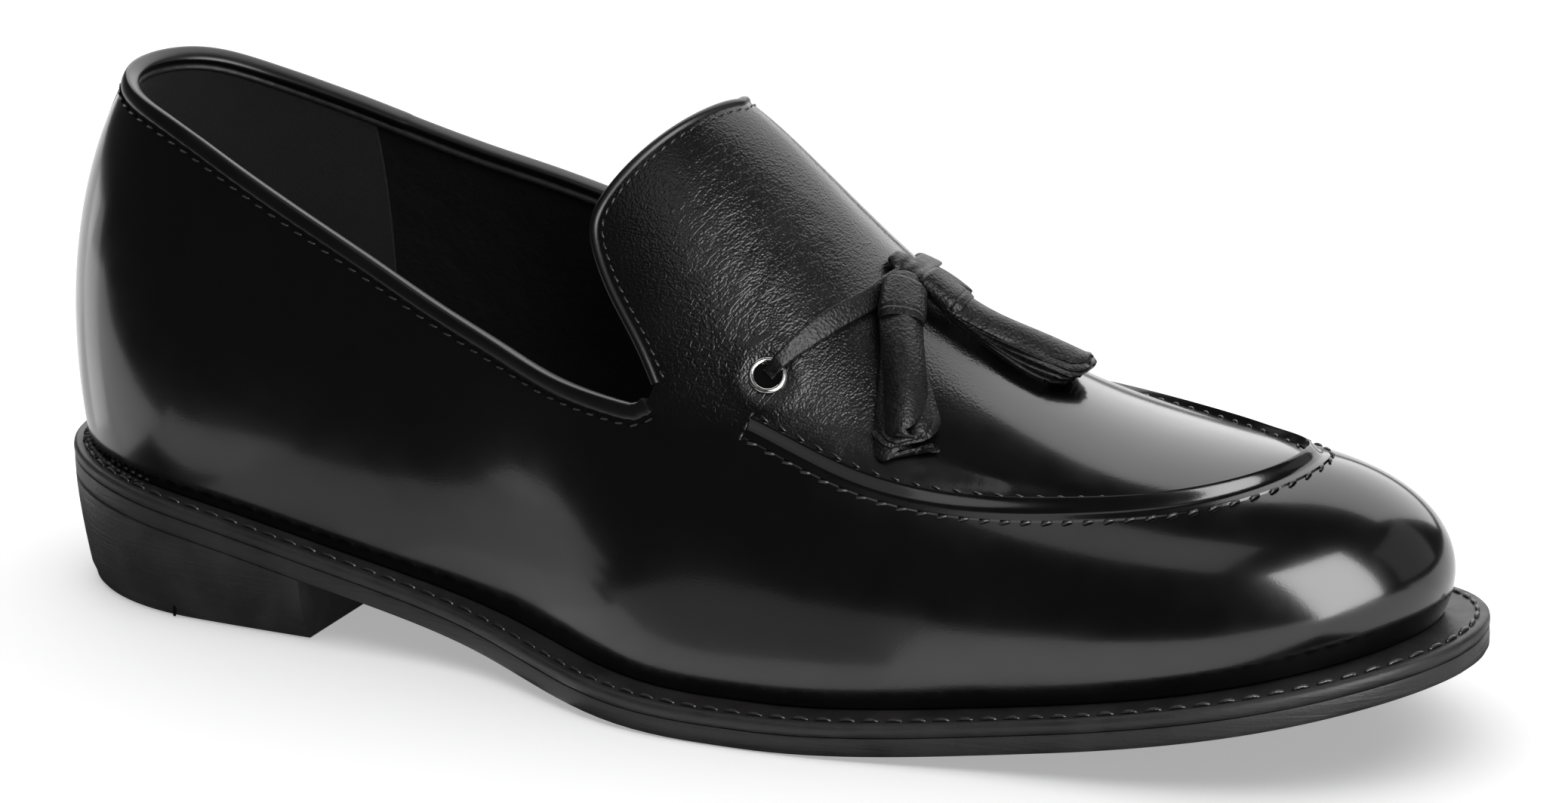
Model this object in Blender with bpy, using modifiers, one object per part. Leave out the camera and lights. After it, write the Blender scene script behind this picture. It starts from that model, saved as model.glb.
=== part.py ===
"""Right tassel loafer: a welted leather shoe with an apron front, built as its maker would put it together.

The toe points along +X, the lateral side faces -Y and the ground is the plane Z = 0.
The last is a skin of ribs: each rib leaves the feather edge, bulges over the wall and ends on the spine.
Every other piece takes its place from the feather outline, the sole's profile or a point on that skin.
"""
from collections import namedtuple

import bpy
import bmesh
import numpy as np
from mathutils import Matrix, Vector

MM = 0.001
OBJECT_NAME = "tassel_loafer"
LATERAL, MEDIAL = -1, 1

# Driving sizes of the last
FEATHER_LENGTH = 290 * MM
BALL_HALF_WIDTH = 44 * MM
INSTEP_HEIGHT = 100 * MM
HEEL_ROUND = 38 * MM
TOE_ROUND = 63 * MM
ROUND_POWER = 2.1
SPINE_HEEL_SETBACK = 34 * MM
SPINE_TOE_SETBACK = 28 * MM
WALL_FLARE = 6 * MM

# Driving sizes of the sole, all measured up from the ground
HEEL_SEAT_HEIGHT = 22.6 * MM
HEEL_SEAT_DROP = 6.4 * MM
HEEL_LENGTH = 65 * MM
FOREFOOT_START = 161 * MM
FOREFOOT_END = 172 * MM
TOE_SPRING = 18 * MM
TOE_SPRING_POWER = 1.7
OUTSOLE_THICKNESS = 3.8 * MM
WELT_THICKNESS = 2.4 * MM
WELT_REACH = 8.4 * MM
WELT_INSIDE = 5 * MM
EDGE_ROUND = 0.9 * MM
HEEL_TAPER = 2.6 * MM
TOP_LIFT_THICKNESS = 3 * MM
SEAT_GAP = 0.3 * MM

# Driving sizes of the upper and what is sewn to it
UPPER_THICKNESS = 2 * MM
INSOLE_THICKNESS = 2.6 * MM
INSOLE_CLEARANCE = 0.7 * MM
COLLAR_HEIGHT = 72 * MM
THROAT_STATION = 147 * MM
THROAT_CORNER = 5 * MM
TONGUE_SETBACK = 18 * MM
RIDGE_WIDTH = 4.4 * MM
RIDGE_HEIGHT = 1.9 * MM
BINDING_WIDTH = 2.6 * MM
BINDING_THICKNESS = 1.1 * MM
BACK_STRIP_WIDTH = 13 * MM
BACK_STRIP_THICKNESS = 1 * MM
BACK_STRIP_FOOT = 0.10

# Driving sizes of the eyelets, the lace and the tassels
EYELET_STATION = 0.581 * FEATHER_LENGTH
EYELET_SHARE = 0.515
EYELET_RADIUS = 2.6 * MM
EYELET_WIRE = 0.55 * MM
LACE_WIDTH = 5.2 * MM
LACE_THICKNESS = 1.2 * MM
KNOT_STATION = 0.629 * FEATHER_LENGTH
KNOT_SHARE = 0.98
KNOT_WIDTH = 7.5 * MM
KNOT_LENGTH = 7.5 * MM
KNOT_HEIGHT = 4.6 * MM
TASSEL_CAP_WIDTH = 8.6 * MM
TASSEL_CAP_HEIGHT = 5.6 * MM
TASSEL_CAP_SHARE = 0.34
TASSEL_LIFT = 0.5 * MM
LEAF_WIDTH = 8 * MM
LEAF_THICKNESS = 0.95 * MM
LEAF_PITCH = 1.3 * MM

# How finely each piece is divided
HEEL_SECTIONS = 10
SOLE_SECTIONS = 26
QUARTER_RIBS = 18
VAMP_RIBS = 16
WALL_BANDS = 8
CROWN_BANDS = 8
TONGUE_COLUMNS = 4
TOE_BELT_SHARE = 0.44
RIDGE_SECTIONS = 22
RIDGE_STEPS = 6
BACK_STRIP_ROWS = 8
LEAF_COUNT = 4
LEAF_SECTIONS = 7
LEAF_FAN = 0.7 * MM
LEAF_STAGGER = 0.04
CAP_SIDES = 14
SHARP_ANGLE = 0.7

LastRow = namedtuple("LastRow", "along lateral medial reach centre crown")
LAST_ROWS = (
    LastRow(0.00, 0.650, 0.650, 0.34, 0.00, 0.870),
    LastRow(0.12, 0.655, 0.655, 0.62, 0.00, 0.930),
    LastRow(0.25, 0.665, 0.615, 0.68, 0.00, 0.945),
    LastRow(0.38, 0.725, 0.575, 0.78, 0.02, 0.985),
    LastRow(0.50, 0.990, 0.670, 0.90, 0.04, 1.035),
    LastRow(0.56, 1.010, 0.770, 0.94, 0.04, 0.905),
    LastRow(0.62, 0.985, 0.860, 0.96, 0.04, 0.740),
    LastRow(0.73, 0.865, 0.945, 0.98, 0.03, 0.520),
    LastRow(0.84, 0.800, 0.900, 1.00, 0.02, 0.405),
    LastRow(0.93, 0.790, 0.800, 1.00, 0.00, 0.335),
    LastRow(1.00, 0.740, 0.730, 1.00, 0.00, 0.290),
)
WallRow = namedtuple("WallRow", "along flare rise shoulder")
WALL_ROWS = (
    WallRow(0.00, 1.10, 0.55, 0.60),
    WallRow(0.12, 1.00, 0.55, 0.74),
    WallRow(0.28, 0.85, 0.50, 0.90),
    WallRow(0.40, 0.70, 0.46, 0.84),
    WallRow(0.50, 0.55, 0.45, 0.58),
    WallRow(0.60, 0.70, 0.55, 0.57),
    WallRow(0.72, 0.85, 0.60, 0.62),
    WallRow(0.88, 0.90, 0.60, 0.62),
    WallRow(1.00, 1.40, 0.58, 0.62),
)
ToplineRow = namedtuple("ToplineRow", "along lateral medial")
TOPLINE_ROWS = (
    ToplineRow(0.000, 1.055, 1.055),
    ToplineRow(0.045, 1.040, 1.050),
    ToplineRow(0.100, 1.025, 1.020),
    ToplineRow(0.167, 0.971, 1.000),
    ToplineRow(0.226, 0.911, 0.985),
    ToplineRow(0.280, 0.851, 0.980),
    ToplineRow(0.330, 0.794, 0.980),
    ToplineRow(0.384, 0.751, 0.965),
    ToplineRow(0.426, 0.727, 0.940),
    ToplineRow(0.465, 0.723, 0.900),
    ToplineRow(0.520, 0.723, 0.870),
)
TongueRow = namedtuple("TongueRow", "along setback")
TONGUE_ROWS = (
    TongueRow(0.000, 0.00),
    TongueRow(0.067, 0.22),
    TongueRow(0.160, 0.58),
    TongueRow(0.244, 0.83),
    TongueRow(0.345, 0.98),
    TongueRow(0.462, 0.85),
    TongueRow(0.605, 0.56),
    TongueRow(0.815, 0.19),
    TongueRow(1.000, 0.00),
)
RidgeRow = namedtuple("RidgeRow", "along lateral medial")
RIDGE_ROWS = (
    RidgeRow(0.575, 0.415, 0.42),
    RidgeRow(0.610, 0.420, 0.42),
    RidgeRow(0.645, 0.425, 0.43),
    RidgeRow(0.730, 0.470, 0.47),
    RidgeRow(0.800, 0.530, 0.53),
    RidgeRow(0.872, 0.670, 0.66),
    RidgeRow(0.934, 0.825, 0.80),
    RidgeRow(0.975, 0.885, 0.87),
    RidgeRow(1.000, 0.900, 0.90),
)
RunRow = namedtuple("RunRow", "along station share")
LACE_ROWS = (
    RunRow(0.00, 0.588, 0.56),
    RunRow(0.35, 0.600, 0.70),
    RunRow(0.70, 0.615, 0.86),
    RunRow(1.00, 0.626, 1.00),
)
LATERAL_TASSEL_ROWS = (
    RunRow(0.00, 0.640, 0.885),
    RunRow(0.28, 0.647, 0.800),
    RunRow(0.55, 0.658, 0.690),
    RunRow(0.80, 0.668, 0.600),
    RunRow(1.00, 0.675, 0.530),
)
MEDIAL_TASSEL_ROWS = (
    RunRow(0.00, 0.652, 0.97),
    RunRow(0.30, 0.685, 0.95),
    RunRow(0.65, 0.732, 0.92),
    RunRow(1.00, 0.778, 0.90),
)


def column(rows, name):
    """One column of a table as an array."""
    return np.array([getattr(row, name) for row in rows], float)


def spline(rows, name, along):
    """Reads a table's column at any share of the length, on a natural cubic spline."""
    keys, values = column(rows, "along"), column(rows, name)
    step = np.diff(keys)
    count = len(keys)
    system, right = np.eye(count), np.zeros(count)
    for i in range(1, count - 1):
        system[i, i - 1:i + 2] = step[i - 1], 2 * (step[i - 1] + step[i]), step[i]
        right[i] = 6 * ((values[i + 1] - values[i]) / step[i] - (values[i] - values[i - 1]) / step[i - 1])
    bend = np.linalg.solve(system, right)
    along = np.clip(along, keys[0], keys[-1])
    i = np.clip(np.searchsorted(keys, along) - 1, 0, count - 2)
    t, h = along - keys[i], step[i]
    slope = (values[i + 1] - values[i]) / h - h * (2 * bend[i] + bend[i + 1]) / 6
    return values[i] + slope * t + bend[i] / 2 * t**2 + (bend[i + 1] - bend[i]) / (6 * h) * t**3


def end_rounding(x):
    """Narrows the half widths to nothing at the heel and the toe, as two rounded ends."""
    heel = np.clip(1 - x / HEEL_ROUND, 0, 1)
    toe = np.clip(1 - (FEATHER_LENGTH - x) / TOE_ROUND, 0, 1)
    power = ROUND_POWER
    return (1 - heel**power)**(1 / power) * (1 - toe**power)**(1 / power)


def sole_height(x):
    """Height of the outsole's underside: heel seat, waist, flat forefoot and toe spring."""
    x = np.clip(x, 0, FEATHER_LENGTH)
    t = np.clip(x / FOREFOOT_START, 0, 1)
    slope = -0.6 * HEEL_SEAT_DROP / HEEL_LENGTH * FOREFOOT_START
    waist = HEEL_SEAT_HEIGHT * (2 * t**3 - 3 * t**2 + 1) + slope * (t**3 - 2 * t**2 + t)
    rise = np.clip((x - FOREFOOT_END) / (FEATHER_LENGTH - FOREFOOT_END), 0, 1)
    return waist + TOE_SPRING * rise**TOE_SPRING_POWER


def welt_top(x):
    """Height of the welt's upper face."""
    return sole_height(x) + OUTSOLE_THICKNESS + SEAT_GAP + WELT_THICKNESS


def feather_height(x):
    """Height of the upper's lower edge, which stands on the welt."""
    return welt_top(x) + SEAT_GAP


def feather_half(x, side):
    """Half width of the feather edge on one side of the centre line."""
    name = "lateral" if side == LATERAL else "medial"
    return BALL_HALF_WIDTH * spline(LAST_ROWS, name, x / FEATHER_LENGTH) * end_rounding(x)


def feather_point(x, side):
    """Points of the feather edge in plan."""
    return np.stack([x, side * feather_half(x, side)], -1)


def feather_normal(x, side):
    """Outward normals of the feather edge in plan."""
    step = 0.0004
    low = np.clip(x - step, 0, FEATHER_LENGTH)
    high = np.clip(x + step, 0, FEATHER_LENGTH)
    run = feather_point(high, side) - feather_point(low, side)
    run /= np.linalg.norm(run, axis=-1, keepdims=True)
    normal = side * np.stack([-run[..., 1], run[..., 0]], -1)
    tip = np.stack([np.where(x < FEATHER_LENGTH / 2, -1.0, 1.0), 0 * x], -1)
    at_end = ((x < step) | (x > FEATHER_LENGTH - step))[..., None]
    return np.where(at_end, tip, normal)


def spine_station(x):
    """Station on the spine where the rib that leaves the feather at x ends: ribs fan out at heel and toe."""
    heel, toe = SPINE_HEEL_SETBACK, SPINE_TOE_SETBACK
    station = np.where(x < 2 * heel, heel + x**2 / (4 * heel), x)
    left = FEATHER_LENGTH - x
    return np.where(left < 2 * toe, FEATHER_LENGTH - toe - left**2 / (4 * toe), station)


def crown_height(x):
    """Height of the spine above the ground."""
    return feather_height(x) + INSTEP_HEIGHT * spline(LAST_ROWS, "crown", x / FEATHER_LENGTH)


def last_point(x, side, w):
    """A point on the last: station x on the feather, share w of the way up its rib to the spine."""
    x, w = np.broadcast_arrays(np.asarray(x, float), np.asarray(w, float))
    along = x / FEATHER_LENGTH
    foot = np.concatenate([feather_point(x, side), feather_height(x)[..., None]], -1)
    top_x = spine_station(x)
    centre = BALL_HALF_WIDTH * spline(LAST_ROWS, "centre", top_x / FEATHER_LENGTH)
    top = np.stack([top_x, centre, crown_height(top_x)], -1)
    tilt = (crown_height(top_x + MM) - crown_height(top_x - MM)) / (2 * MM)
    inward = foot[..., :2] - top[..., :2]
    distance = np.linalg.norm(inward, axis=-1, keepdims=True)
    inward = inward / distance
    flare = WALL_FLARE * spline(WALL_ROWS, "flare", along)[..., None]
    rise = spline(WALL_ROWS, "rise", along) * (top[..., 2] - foot[..., 2])
    shoulder = spline(WALL_ROWS, "shoulder", along)[..., None] * distance
    wall = foot + np.concatenate([feather_normal(x, side) * flare, rise[..., None]], -1)
    over = top + np.concatenate([inward, (tilt * inward[..., 0])[..., None]], -1) * shoulder
    w = w[..., None]
    return (1 - w)**3 * foot + 3 * w * (1 - w)**2 * wall + 3 * w**2 * (1 - w) * over + w**3 * top


def last_normal(x, side, w):
    """Outward normals of the last."""
    x, w = np.broadcast_arrays(np.asarray(x, float), np.asarray(w, float))
    step_x, step_w = 0.5 * MM, 0.004
    low_x, high_x = np.clip(x - step_x, 0, FEATHER_LENGTH), np.clip(x + step_x, 0, FEATHER_LENGTH)
    low_w, high_w = np.clip(w - step_w, 0, 1), np.clip(w + step_w, 0, 0.995)
    along = last_point(high_x, side, np.minimum(w, 0.99)) - last_point(low_x, side, np.minimum(w, 0.99))
    up = last_point(x, side, high_w) - last_point(x, side, np.minimum(low_w, 0.985))
    normal = side * np.cross(up, along)
    return normal / np.linalg.norm(normal, axis=-1, keepdims=True)


def topline_share(x, side):
    """Share of the rib at which the quarter ends: the height of the collar, rounded up into the throat."""
    name = "lateral" if side == LATERAL else "medial"
    height = COLLAR_HEIGHT * spline(TOPLINE_ROWS, name, x / FEATHER_LENGTH)
    into = np.clip((x - THROAT_STATION + THROAT_CORNER) / THROAT_CORNER, 0, 1)
    height = height + THROAT_CORNER * (1 - np.sqrt(1 - into**2))
    shares = np.linspace(0, 1, 201)
    result = []
    for station, wanted in zip(x, height):
        climb = last_point(station, side, shares)[:, 2] - feather_height(station)
        result.append(np.interp(wanted, climb[:161], shares[:161]))
    return np.array(result)


def ends_and_middle(start, end, count):
    """Stations from start to end that stand closer together near both."""
    return start + (end - start) * (1 - np.cos(np.pi * np.arange(count + 1) / count)) / 2


def closing_in(start, end, count):
    """Stations from start to end that stand closer together near the end."""
    return end - (end - start) * (1 - np.arange(count + 1) / count)**1.6


def outline_centre():
    """Middle of the sole's outline in plan, which becomes the model's origin."""
    stations = sole_stations()
    edge = np.concatenate([outline_side(stations, side, 1.0) for side in (LATERAL, MEDIAL)])
    return np.append((edge.min(0) + edge.max(0)) / 2, 0)


def sole_stations():
    """Stations of the sole's sections, one of them at the heel breast."""
    heel = HEEL_LENGTH * (1 - np.cos(np.pi / 2 * np.arange(HEEL_SECTIONS + 1) / HEEL_SECTIONS))
    front = ends_and_middle(HEEL_LENGTH, FEATHER_LENGTH, SOLE_SECTIONS)
    return np.concatenate([heel, front[1:]])


def outline_side(stations, side, share, extra=0.0):
    """One side of an outline: the feather edge moved out by a share of the welt's reach and an extra."""
    reach = WELT_REACH * spline(LAST_ROWS, "reach", stations / FEATHER_LENGTH) * share + extra
    return feather_point(stations, side) + feather_normal(stations, side) * reach[:, None]


def outline_loop(stations, heights, share, extra=0.0):
    """A loop round the shoe, from the heel along the lateral side to the toe and back on the medial side.

    Stations that stop short of the toe give a loop with a straight front.
    """
    lateral = outline_side(stations, LATERAL, share, extra)
    medial = outline_side(stations, MEDIAL, share, extra)
    whole = stations[-1] > FEATHER_LENGTH - MM / 10
    back = slice(-2 if whole else None, 0, -1)
    flat = np.concatenate([lateral, medial[back]])
    return np.column_stack([flat, np.concatenate([heights, heights[back]])])


def ladder(first, count, pairs):
    """Faces that close a loop of count points with rungs between its two sides, pairs rungs deep."""
    faces = [(first, first + 1, first + count - 1)]
    for i in range(1, pairs):
        faces.append((first + i, first + i + 1, first + count - i - 1, first + count - i))
    if count - 2 * pairs == 2:
        faces.append((first + pairs, first + pairs + 1, first + count - pairs))
    return faces


def bridge(first, second, count):
    """Quads between two neighbouring loops of count points."""
    return [(first + i, first + (i + 1) % count, second + (i + 1) % count, second + i) for i in range(count)]


def add_object(name, points, faces, material, collection, smooth=True):
    """Makes a mesh object in the model's own frame, with its doubles merged and its faces turned out."""
    mesh = bpy.data.meshes.new(name)
    mesh.from_pydata((np.asarray(points) - outline_centre()).tolist(), [], [list(face) for face in faces])
    work = bmesh.new()
    work.from_mesh(mesh)
    bmesh.ops.remove_doubles(work, verts=work.verts, dist=MM / 50)
    bmesh.ops.dissolve_degenerate(work, edges=work.edges, dist=MM / 100)
    bmesh.ops.recalc_face_normals(work, faces=work.faces)
    work.to_mesh(mesh)
    work.free()
    if smooth:
        mesh.shade_smooth()
        mesh.set_sharp_from_angle(angle=SHARP_ANGLE)
    mesh.materials.append(material)
    piece = bpy.data.objects.new(name, mesh)
    collection.objects.link(piece)
    return piece


def plate(name, loops, material, collection):
    """A solid skinned over loops of outline_loop, from its lowest loop to its highest."""
    count = len(loops[0])
    faces = []
    for k in range(len(loops) - 1):
        faces += bridge(k * count, (k + 1) * count, count)
    pairs = count // 2 - 1 if count % 2 == 0 else (count - 1) // 2
    faces += ladder(0, count, pairs) + ladder((len(loops) - 1) * count, count, pairs)
    return add_object(name, np.concatenate(loops), faces, material, collection)


def ring(name, loops, material, collection):
    """A closed ring whose section is the list of loops, each joined to the next and the last to the first."""
    count = len(loops[0])
    faces = []
    for k in range(len(loops)):
        faces += bridge(k * count, (k + 1) % len(loops) * count, count)
    return add_object(name, np.concatenate(loops), faces, material, collection)


def tube(name, sections, material, collection):
    """A solid skinned over like sections along a run, with both ends closed."""
    count = len(sections[0])
    faces = []
    for k in range(len(sections) - 1):
        faces += bridge(k * count, (k + 1) * count, count)
    last = (len(sections) - 1) * count
    faces += [tuple(range(count)), tuple(range(last, last + count))]
    return add_object(name, np.concatenate(sections), faces, material, collection)


def make_outsole(material, collection):
    """The leather outsole: waist, flat forefoot and toe spring, with rounded lower and upper edges."""
    x = sole_stations()
    low, high = sole_height(x), sole_height(x) + OUTSOLE_THICKNESS
    loops = [
        outline_loop(x, low, 1.0, -EDGE_ROUND),
        outline_loop(x, low + EDGE_ROUND / 2, 1.0, -EDGE_ROUND / 4),
        outline_loop(x, (low + high) / 2, 1.0),
        outline_loop(x, high, 1.0, -EDGE_ROUND / 4),
    ]
    return plate("outsole", loops, material, collection)


def make_welt(material, collection):
    """The welt, a ring round the whole shoe that reaches in under the upper."""
    x = sole_stations()
    low = sole_height(x) + OUTSOLE_THICKNESS + SEAT_GAP
    high = welt_top(x)
    loops = [
        outline_loop(x, low, 1.0, -EDGE_ROUND / 4),
        outline_loop(x, (low + high) / 2, 1.0),
        outline_loop(x, high - EDGE_ROUND / 4, 1.0, -EDGE_ROUND / 3),
        outline_loop(x, high, 1.0, -EDGE_ROUND),
        outline_loop(x, high, 0.0, -WELT_INSIDE),
        outline_loop(x, low, 0.0, -WELT_INSIDE),
    ]
    return ring("welt", loops, material, collection)


def make_insole(material, collection):
    """The insole board, inside the upper's wall and on the welt."""
    x = sole_stations()
    inset = -(UPPER_THICKNESS + INSOLE_CLEARANCE)
    low = welt_top(x) + INSOLE_CLEARANCE
    loops = [
        outline_loop(x, low, 0.0, inset),
        outline_loop(x, low + INSOLE_THICKNESS - EDGE_ROUND / 2, 0.0, inset),
        outline_loop(x, low + INSOLE_THICKNESS, 0.0, inset - EDGE_ROUND),
    ]
    return plate("insole", loops, material, collection)


def heel_loop(heights, taper):
    """A loop of the heel, which stops at the breast and narrows towards the ground."""
    x = sole_stations()[:HEEL_SECTIONS + 1]
    return outline_loop(x, heights + 0 * x, 1.0, -taper)


def make_heel(materials, collection):
    """The stacked leather heel and, under it, its rubber top lift."""
    seat = sole_height(sole_stations()[:HEEL_SECTIONS + 1]) - SEAT_GAP
    foot = TOP_LIFT_THICKNESS + SEAT_GAP
    levels = (0.0, 0.35, 0.7, 1.0)
    loops = [heel_loop(foot + (seat - foot) * level, HEEL_TAPER * (1 - level)**1.5) for level in levels]
    plate("heel_stack", loops, materials["sole_leather"], collection)
    lift = [
        heel_loop(0.0, HEEL_TAPER * 1.1 + EDGE_ROUND / 2),
        heel_loop(EDGE_ROUND / 2, HEEL_TAPER * 1.1),
        heel_loop(TOP_LIFT_THICKNESS, HEEL_TAPER),
    ]
    plate("top_lift", lift, materials["rubber"], collection)


def skin_patch(side, stations, shares):
    """Grid of points on the last for stations and shares of the same shape, as points and quads."""
    points = last_point(stations, side, shares)
    rows, columns = stations.shape
    index = np.arange(rows * columns).reshape(rows, columns)
    quads = []
    for i in range(rows - 1):
        for j in range(columns - 1):
            quads.append((index[i, j], index[i + 1, j], index[i + 1, j + 1], index[i, j + 1]))
    return points.reshape(-1, 3), quads


def upper_patches(side):
    """The three patches of one side of the upper: quarter below the topline, vamp and tongue flap."""
    quarter_x = ends_and_middle(0.0, THROAT_STATION, QUARTER_RIBS)
    top = topline_share(quarter_x, side)
    rise = np.linspace(0, 1, WALL_BANDS + 1)
    yield skin_patch(side, *np.broadcast_arrays(quarter_x[:, None], top[:, None] * rise))
    throat = top[-1]
    vamp_x = closing_in(THROAT_STATION, FEATHER_LENGTH, VAMP_RIBS)
    climb = np.linspace(0, 1, CROWN_BANDS + 1)
    forward = (vamp_x[:, None] - THROAT_STATION) / (FEATHER_LENGTH - THROAT_STATION)
    belt = throat + (TOE_BELT_SHARE - throat) * forward
    shares = np.hstack([belt * rise, belt + (1 - belt) * climb[1:]])
    yield skin_patch(side, *np.broadcast_arrays(vamp_x[:, None], shares))
    setback = TONGUE_SETBACK * spline(TONGUE_ROWS, "setback", climb)
    across = np.linspace(0, 1, TONGUE_COLUMNS + 1)[:, None]
    tongue_x = THROAT_STATION - setback * across
    yield skin_patch(side, tongue_x, np.broadcast_to(throat + (1 - throat) * climb, tongue_x.shape))


def make_upper(material, collection):
    """The upper: quarters, vamp and tongue flap in one wall, open at the collar and underneath."""
    points, faces, first = [], [], 0
    for side in (LATERAL, MEDIAL):
        for patch_points, quads in upper_patches(side):
            points.append(patch_points)
            faces += [tuple(first + i for i in quad) for quad in quads]
            first += len(patch_points)
    upper = add_object("upper", np.concatenate(points), faces, material, collection)
    face_out(upper)
    wall = upper.modifiers.new("wall", "SOLIDIFY")
    wall.thickness = UPPER_THICKNESS
    wall.offset = -1
    return upper


def face_out(piece):
    """Turns an open shell's faces away from the middle of the foot."""
    middle = Vector((FEATHER_LENGTH / 2, 0, INSTEP_HEIGHT / 3)) - Vector(outline_centre())
    outward = sum((face.center - middle).dot(face.normal) * face.area for face in piece.data.polygons)
    if outward < 0:
        piece.data.flip_normals()


def run_frames(points, normals):
    """Cross directions along a run of points that lies on a surface with these normals."""
    along = np.gradient(points, axis=0)
    across = np.cross(normals, along)
    return across / np.linalg.norm(across, axis=1, keepdims=True)


def raised_section(points, normals, shape):
    """Sections along a run: shape lists pairs of a distance across the run and a height over the surface."""
    across = run_frames(points, normals)
    return [
        np.array([p + b * u + n * h for u, h in shape])
        for p, n, b in zip(points, normals, across)
    ]


def dome(width, height, steps):
    """A flat-bottomed dome of a section, held one gap off the surface."""
    angles = np.linspace(0, np.pi, steps + 1)
    return [(width / 2 * np.cos(a), SEAT_GAP + height * np.sin(a)**0.7) for a in angles]


def both_sides(shares_of, start):
    """Stations, sides and rib shares of a run from the lateral side round the toe to the medial side."""
    run = closing_in(start, FEATHER_LENGTH, RIDGE_SECTIONS)
    parts = []
    for side, stations in ((LATERAL, run), (MEDIAL, run[-2::-1])):
        shares = shares_of(stations, side)
        parts.append((last_point(stations, side, shares), last_normal(stations, side, shares)))
    return [np.concatenate(pair) for pair in zip(*parts)]


def ridge_share(stations, side):
    """Share of the rib at which the apron ridge runs."""
    return spline(RIDGE_ROWS, "lateral" if side == LATERAL else "medial", stations / FEATHER_LENGTH)


def make_apron_ridge(material, collection):
    """The raised hand-sewn ridge of the apron, a U that runs round the toe."""
    points, normals = both_sides(ridge_share, RIDGE_ROWS[0].along * FEATHER_LENGTH)
    sections = raised_section(points, normals, dome(RIDGE_WIDTH, RIDGE_HEIGHT, RIDGE_STEPS))
    return tube("apron_ridge", sections, material, collection)


def make_topline_binding(material, collection):
    """The folded bead round the collar, from one throat corner round the heel to the other."""
    run = ends_and_middle(0.0, THROAT_STATION - THROAT_CORNER * 0.4, QUARTER_RIBS + 6)
    parts = []
    for side, stations in ((LATERAL, run[::-1]), (MEDIAL, run[1:])):
        shares = topline_share(stations, side)
        parts.append((last_point(stations, side, shares), last_normal(stations, side, shares)))
    points, normals = [np.concatenate(pair) for pair in zip(*parts)]
    shape = [(u - BINDING_WIDTH / 2, h) for u, h in dome(BINDING_WIDTH, BINDING_THICKNESS, 4)]
    sections = raised_section(points, normals, shape)
    return tube("topline_binding", sections, material, collection)


def station_at_half(half):
    """Station behind the ball at which the feather edge is this far from the centre line."""
    stations = np.linspace(0, HEEL_ROUND / 2, 400)
    return np.interp(half, feather_half(stations, LATERAL), stations)


def make_back_strip(material, collection):
    """The narrow strip that covers the back seam, from the collar's binding to the heel seat."""
    halves = np.linspace(-BACK_STRIP_WIDTH / 2, BACK_STRIP_WIDTH / 2, 7)
    columns, climb = [], np.linspace(0, 1, BACK_STRIP_ROWS + 1)
    for half in halves:
        side = LATERAL if half < 0 else MEDIAL
        station = station_at_half(abs(half))
        top = topline_share(np.array([station]), side)[0] - 1.6 * BINDING_WIDTH / INSTEP_HEIGHT
        shares = BACK_STRIP_FOOT + (top - BACK_STRIP_FOOT) * climb
        columns.append(last_point(station, side, shares) + last_normal(station, side, shares) * SEAT_GAP * 1.5)
    points = np.array(columns)
    rows, count = points.shape[:2]
    index = np.arange(rows * count).reshape(rows, count)
    quads = [
        (index[i, j], index[i + 1, j], index[i + 1, j + 1], index[i, j + 1])
        for i in range(rows - 1) for j in range(count - 1)
    ]
    strip = add_object("back_strip", points.reshape(-1, 3), quads, material, collection)
    face_out(strip)
    wall = strip.modifiers.new("wall", "SOLIDIFY")
    wall.thickness = BACK_STRIP_THICKNESS
    wall.offset = 1
    return strip


def surface_matrix(station, side, share, lift):
    """A frame on the last's surface, with its Z axis along the outward normal."""
    point, normal = last_point(station, side, share), last_normal(station, side, share)
    place = Vector(point - outline_centre()) + Vector(normal) * lift
    return Matrix.Translation(place) @ Vector(normal).to_track_quat("Z", "Y").to_matrix().to_4x4()


def make_eyelets(material, collection):
    """The two metal rings through which the lace leaves the vamp."""
    for name, side in (("eyelet_lateral", LATERAL), ("eyelet_medial", MEDIAL)):
        bpy.ops.mesh.primitive_torus_add(
            major_segments=20, minor_segments=8, major_radius=EYELET_RADIUS, minor_radius=EYELET_WIRE)
        eyelet = bpy.context.object
        eyelet.name = eyelet.data.name = name
        eyelet.data.shade_smooth()
        lift = EYELET_WIRE + 1.6 * SEAT_GAP
        eyelet.matrix_world = surface_matrix(EYELET_STATION, side, EYELET_SHARE, lift)
        eyelet.data.materials.append(material)
        for holder in eyelet.users_collection:
            holder.objects.unlink(eyelet)
        collection.objects.link(eyelet)


def surface_run(rows, side, along):
    """Points and normals of a run that is given by a table of stations and rib shares."""
    stations = FEATHER_LENGTH * spline(rows, "station", along)
    shares = np.clip(spline(rows, "share", along), 0, 1)
    return last_point(stations, side, shares), last_normal(stations, side, shares)


def box_section(width, low, high):
    """A flat section with softened upper corners."""
    return [(-width / 2, low), (width / 2, low), (width / 2, (low + high) / 2), (width * 0.4, high),
            (-width * 0.4, high), (-width / 2, (low + high) / 2)]


def make_lace(material, collection):
    """The flat lace that runs over the vamp from one eyelet to the other."""
    along = np.linspace(0, 1, 8)
    lateral = surface_run(LACE_ROWS, LATERAL, along)
    medial = surface_run(LACE_ROWS, MEDIAL, along[-2::-1])
    points, normals = [np.concatenate(pair) for pair in zip(lateral, medial)]
    low = 2 * SEAT_GAP
    sections = raised_section(points, normals, box_section(LACE_WIDTH, low, low + LACE_THICKNESS))
    return tube("lace", sections, material, collection)


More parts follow.
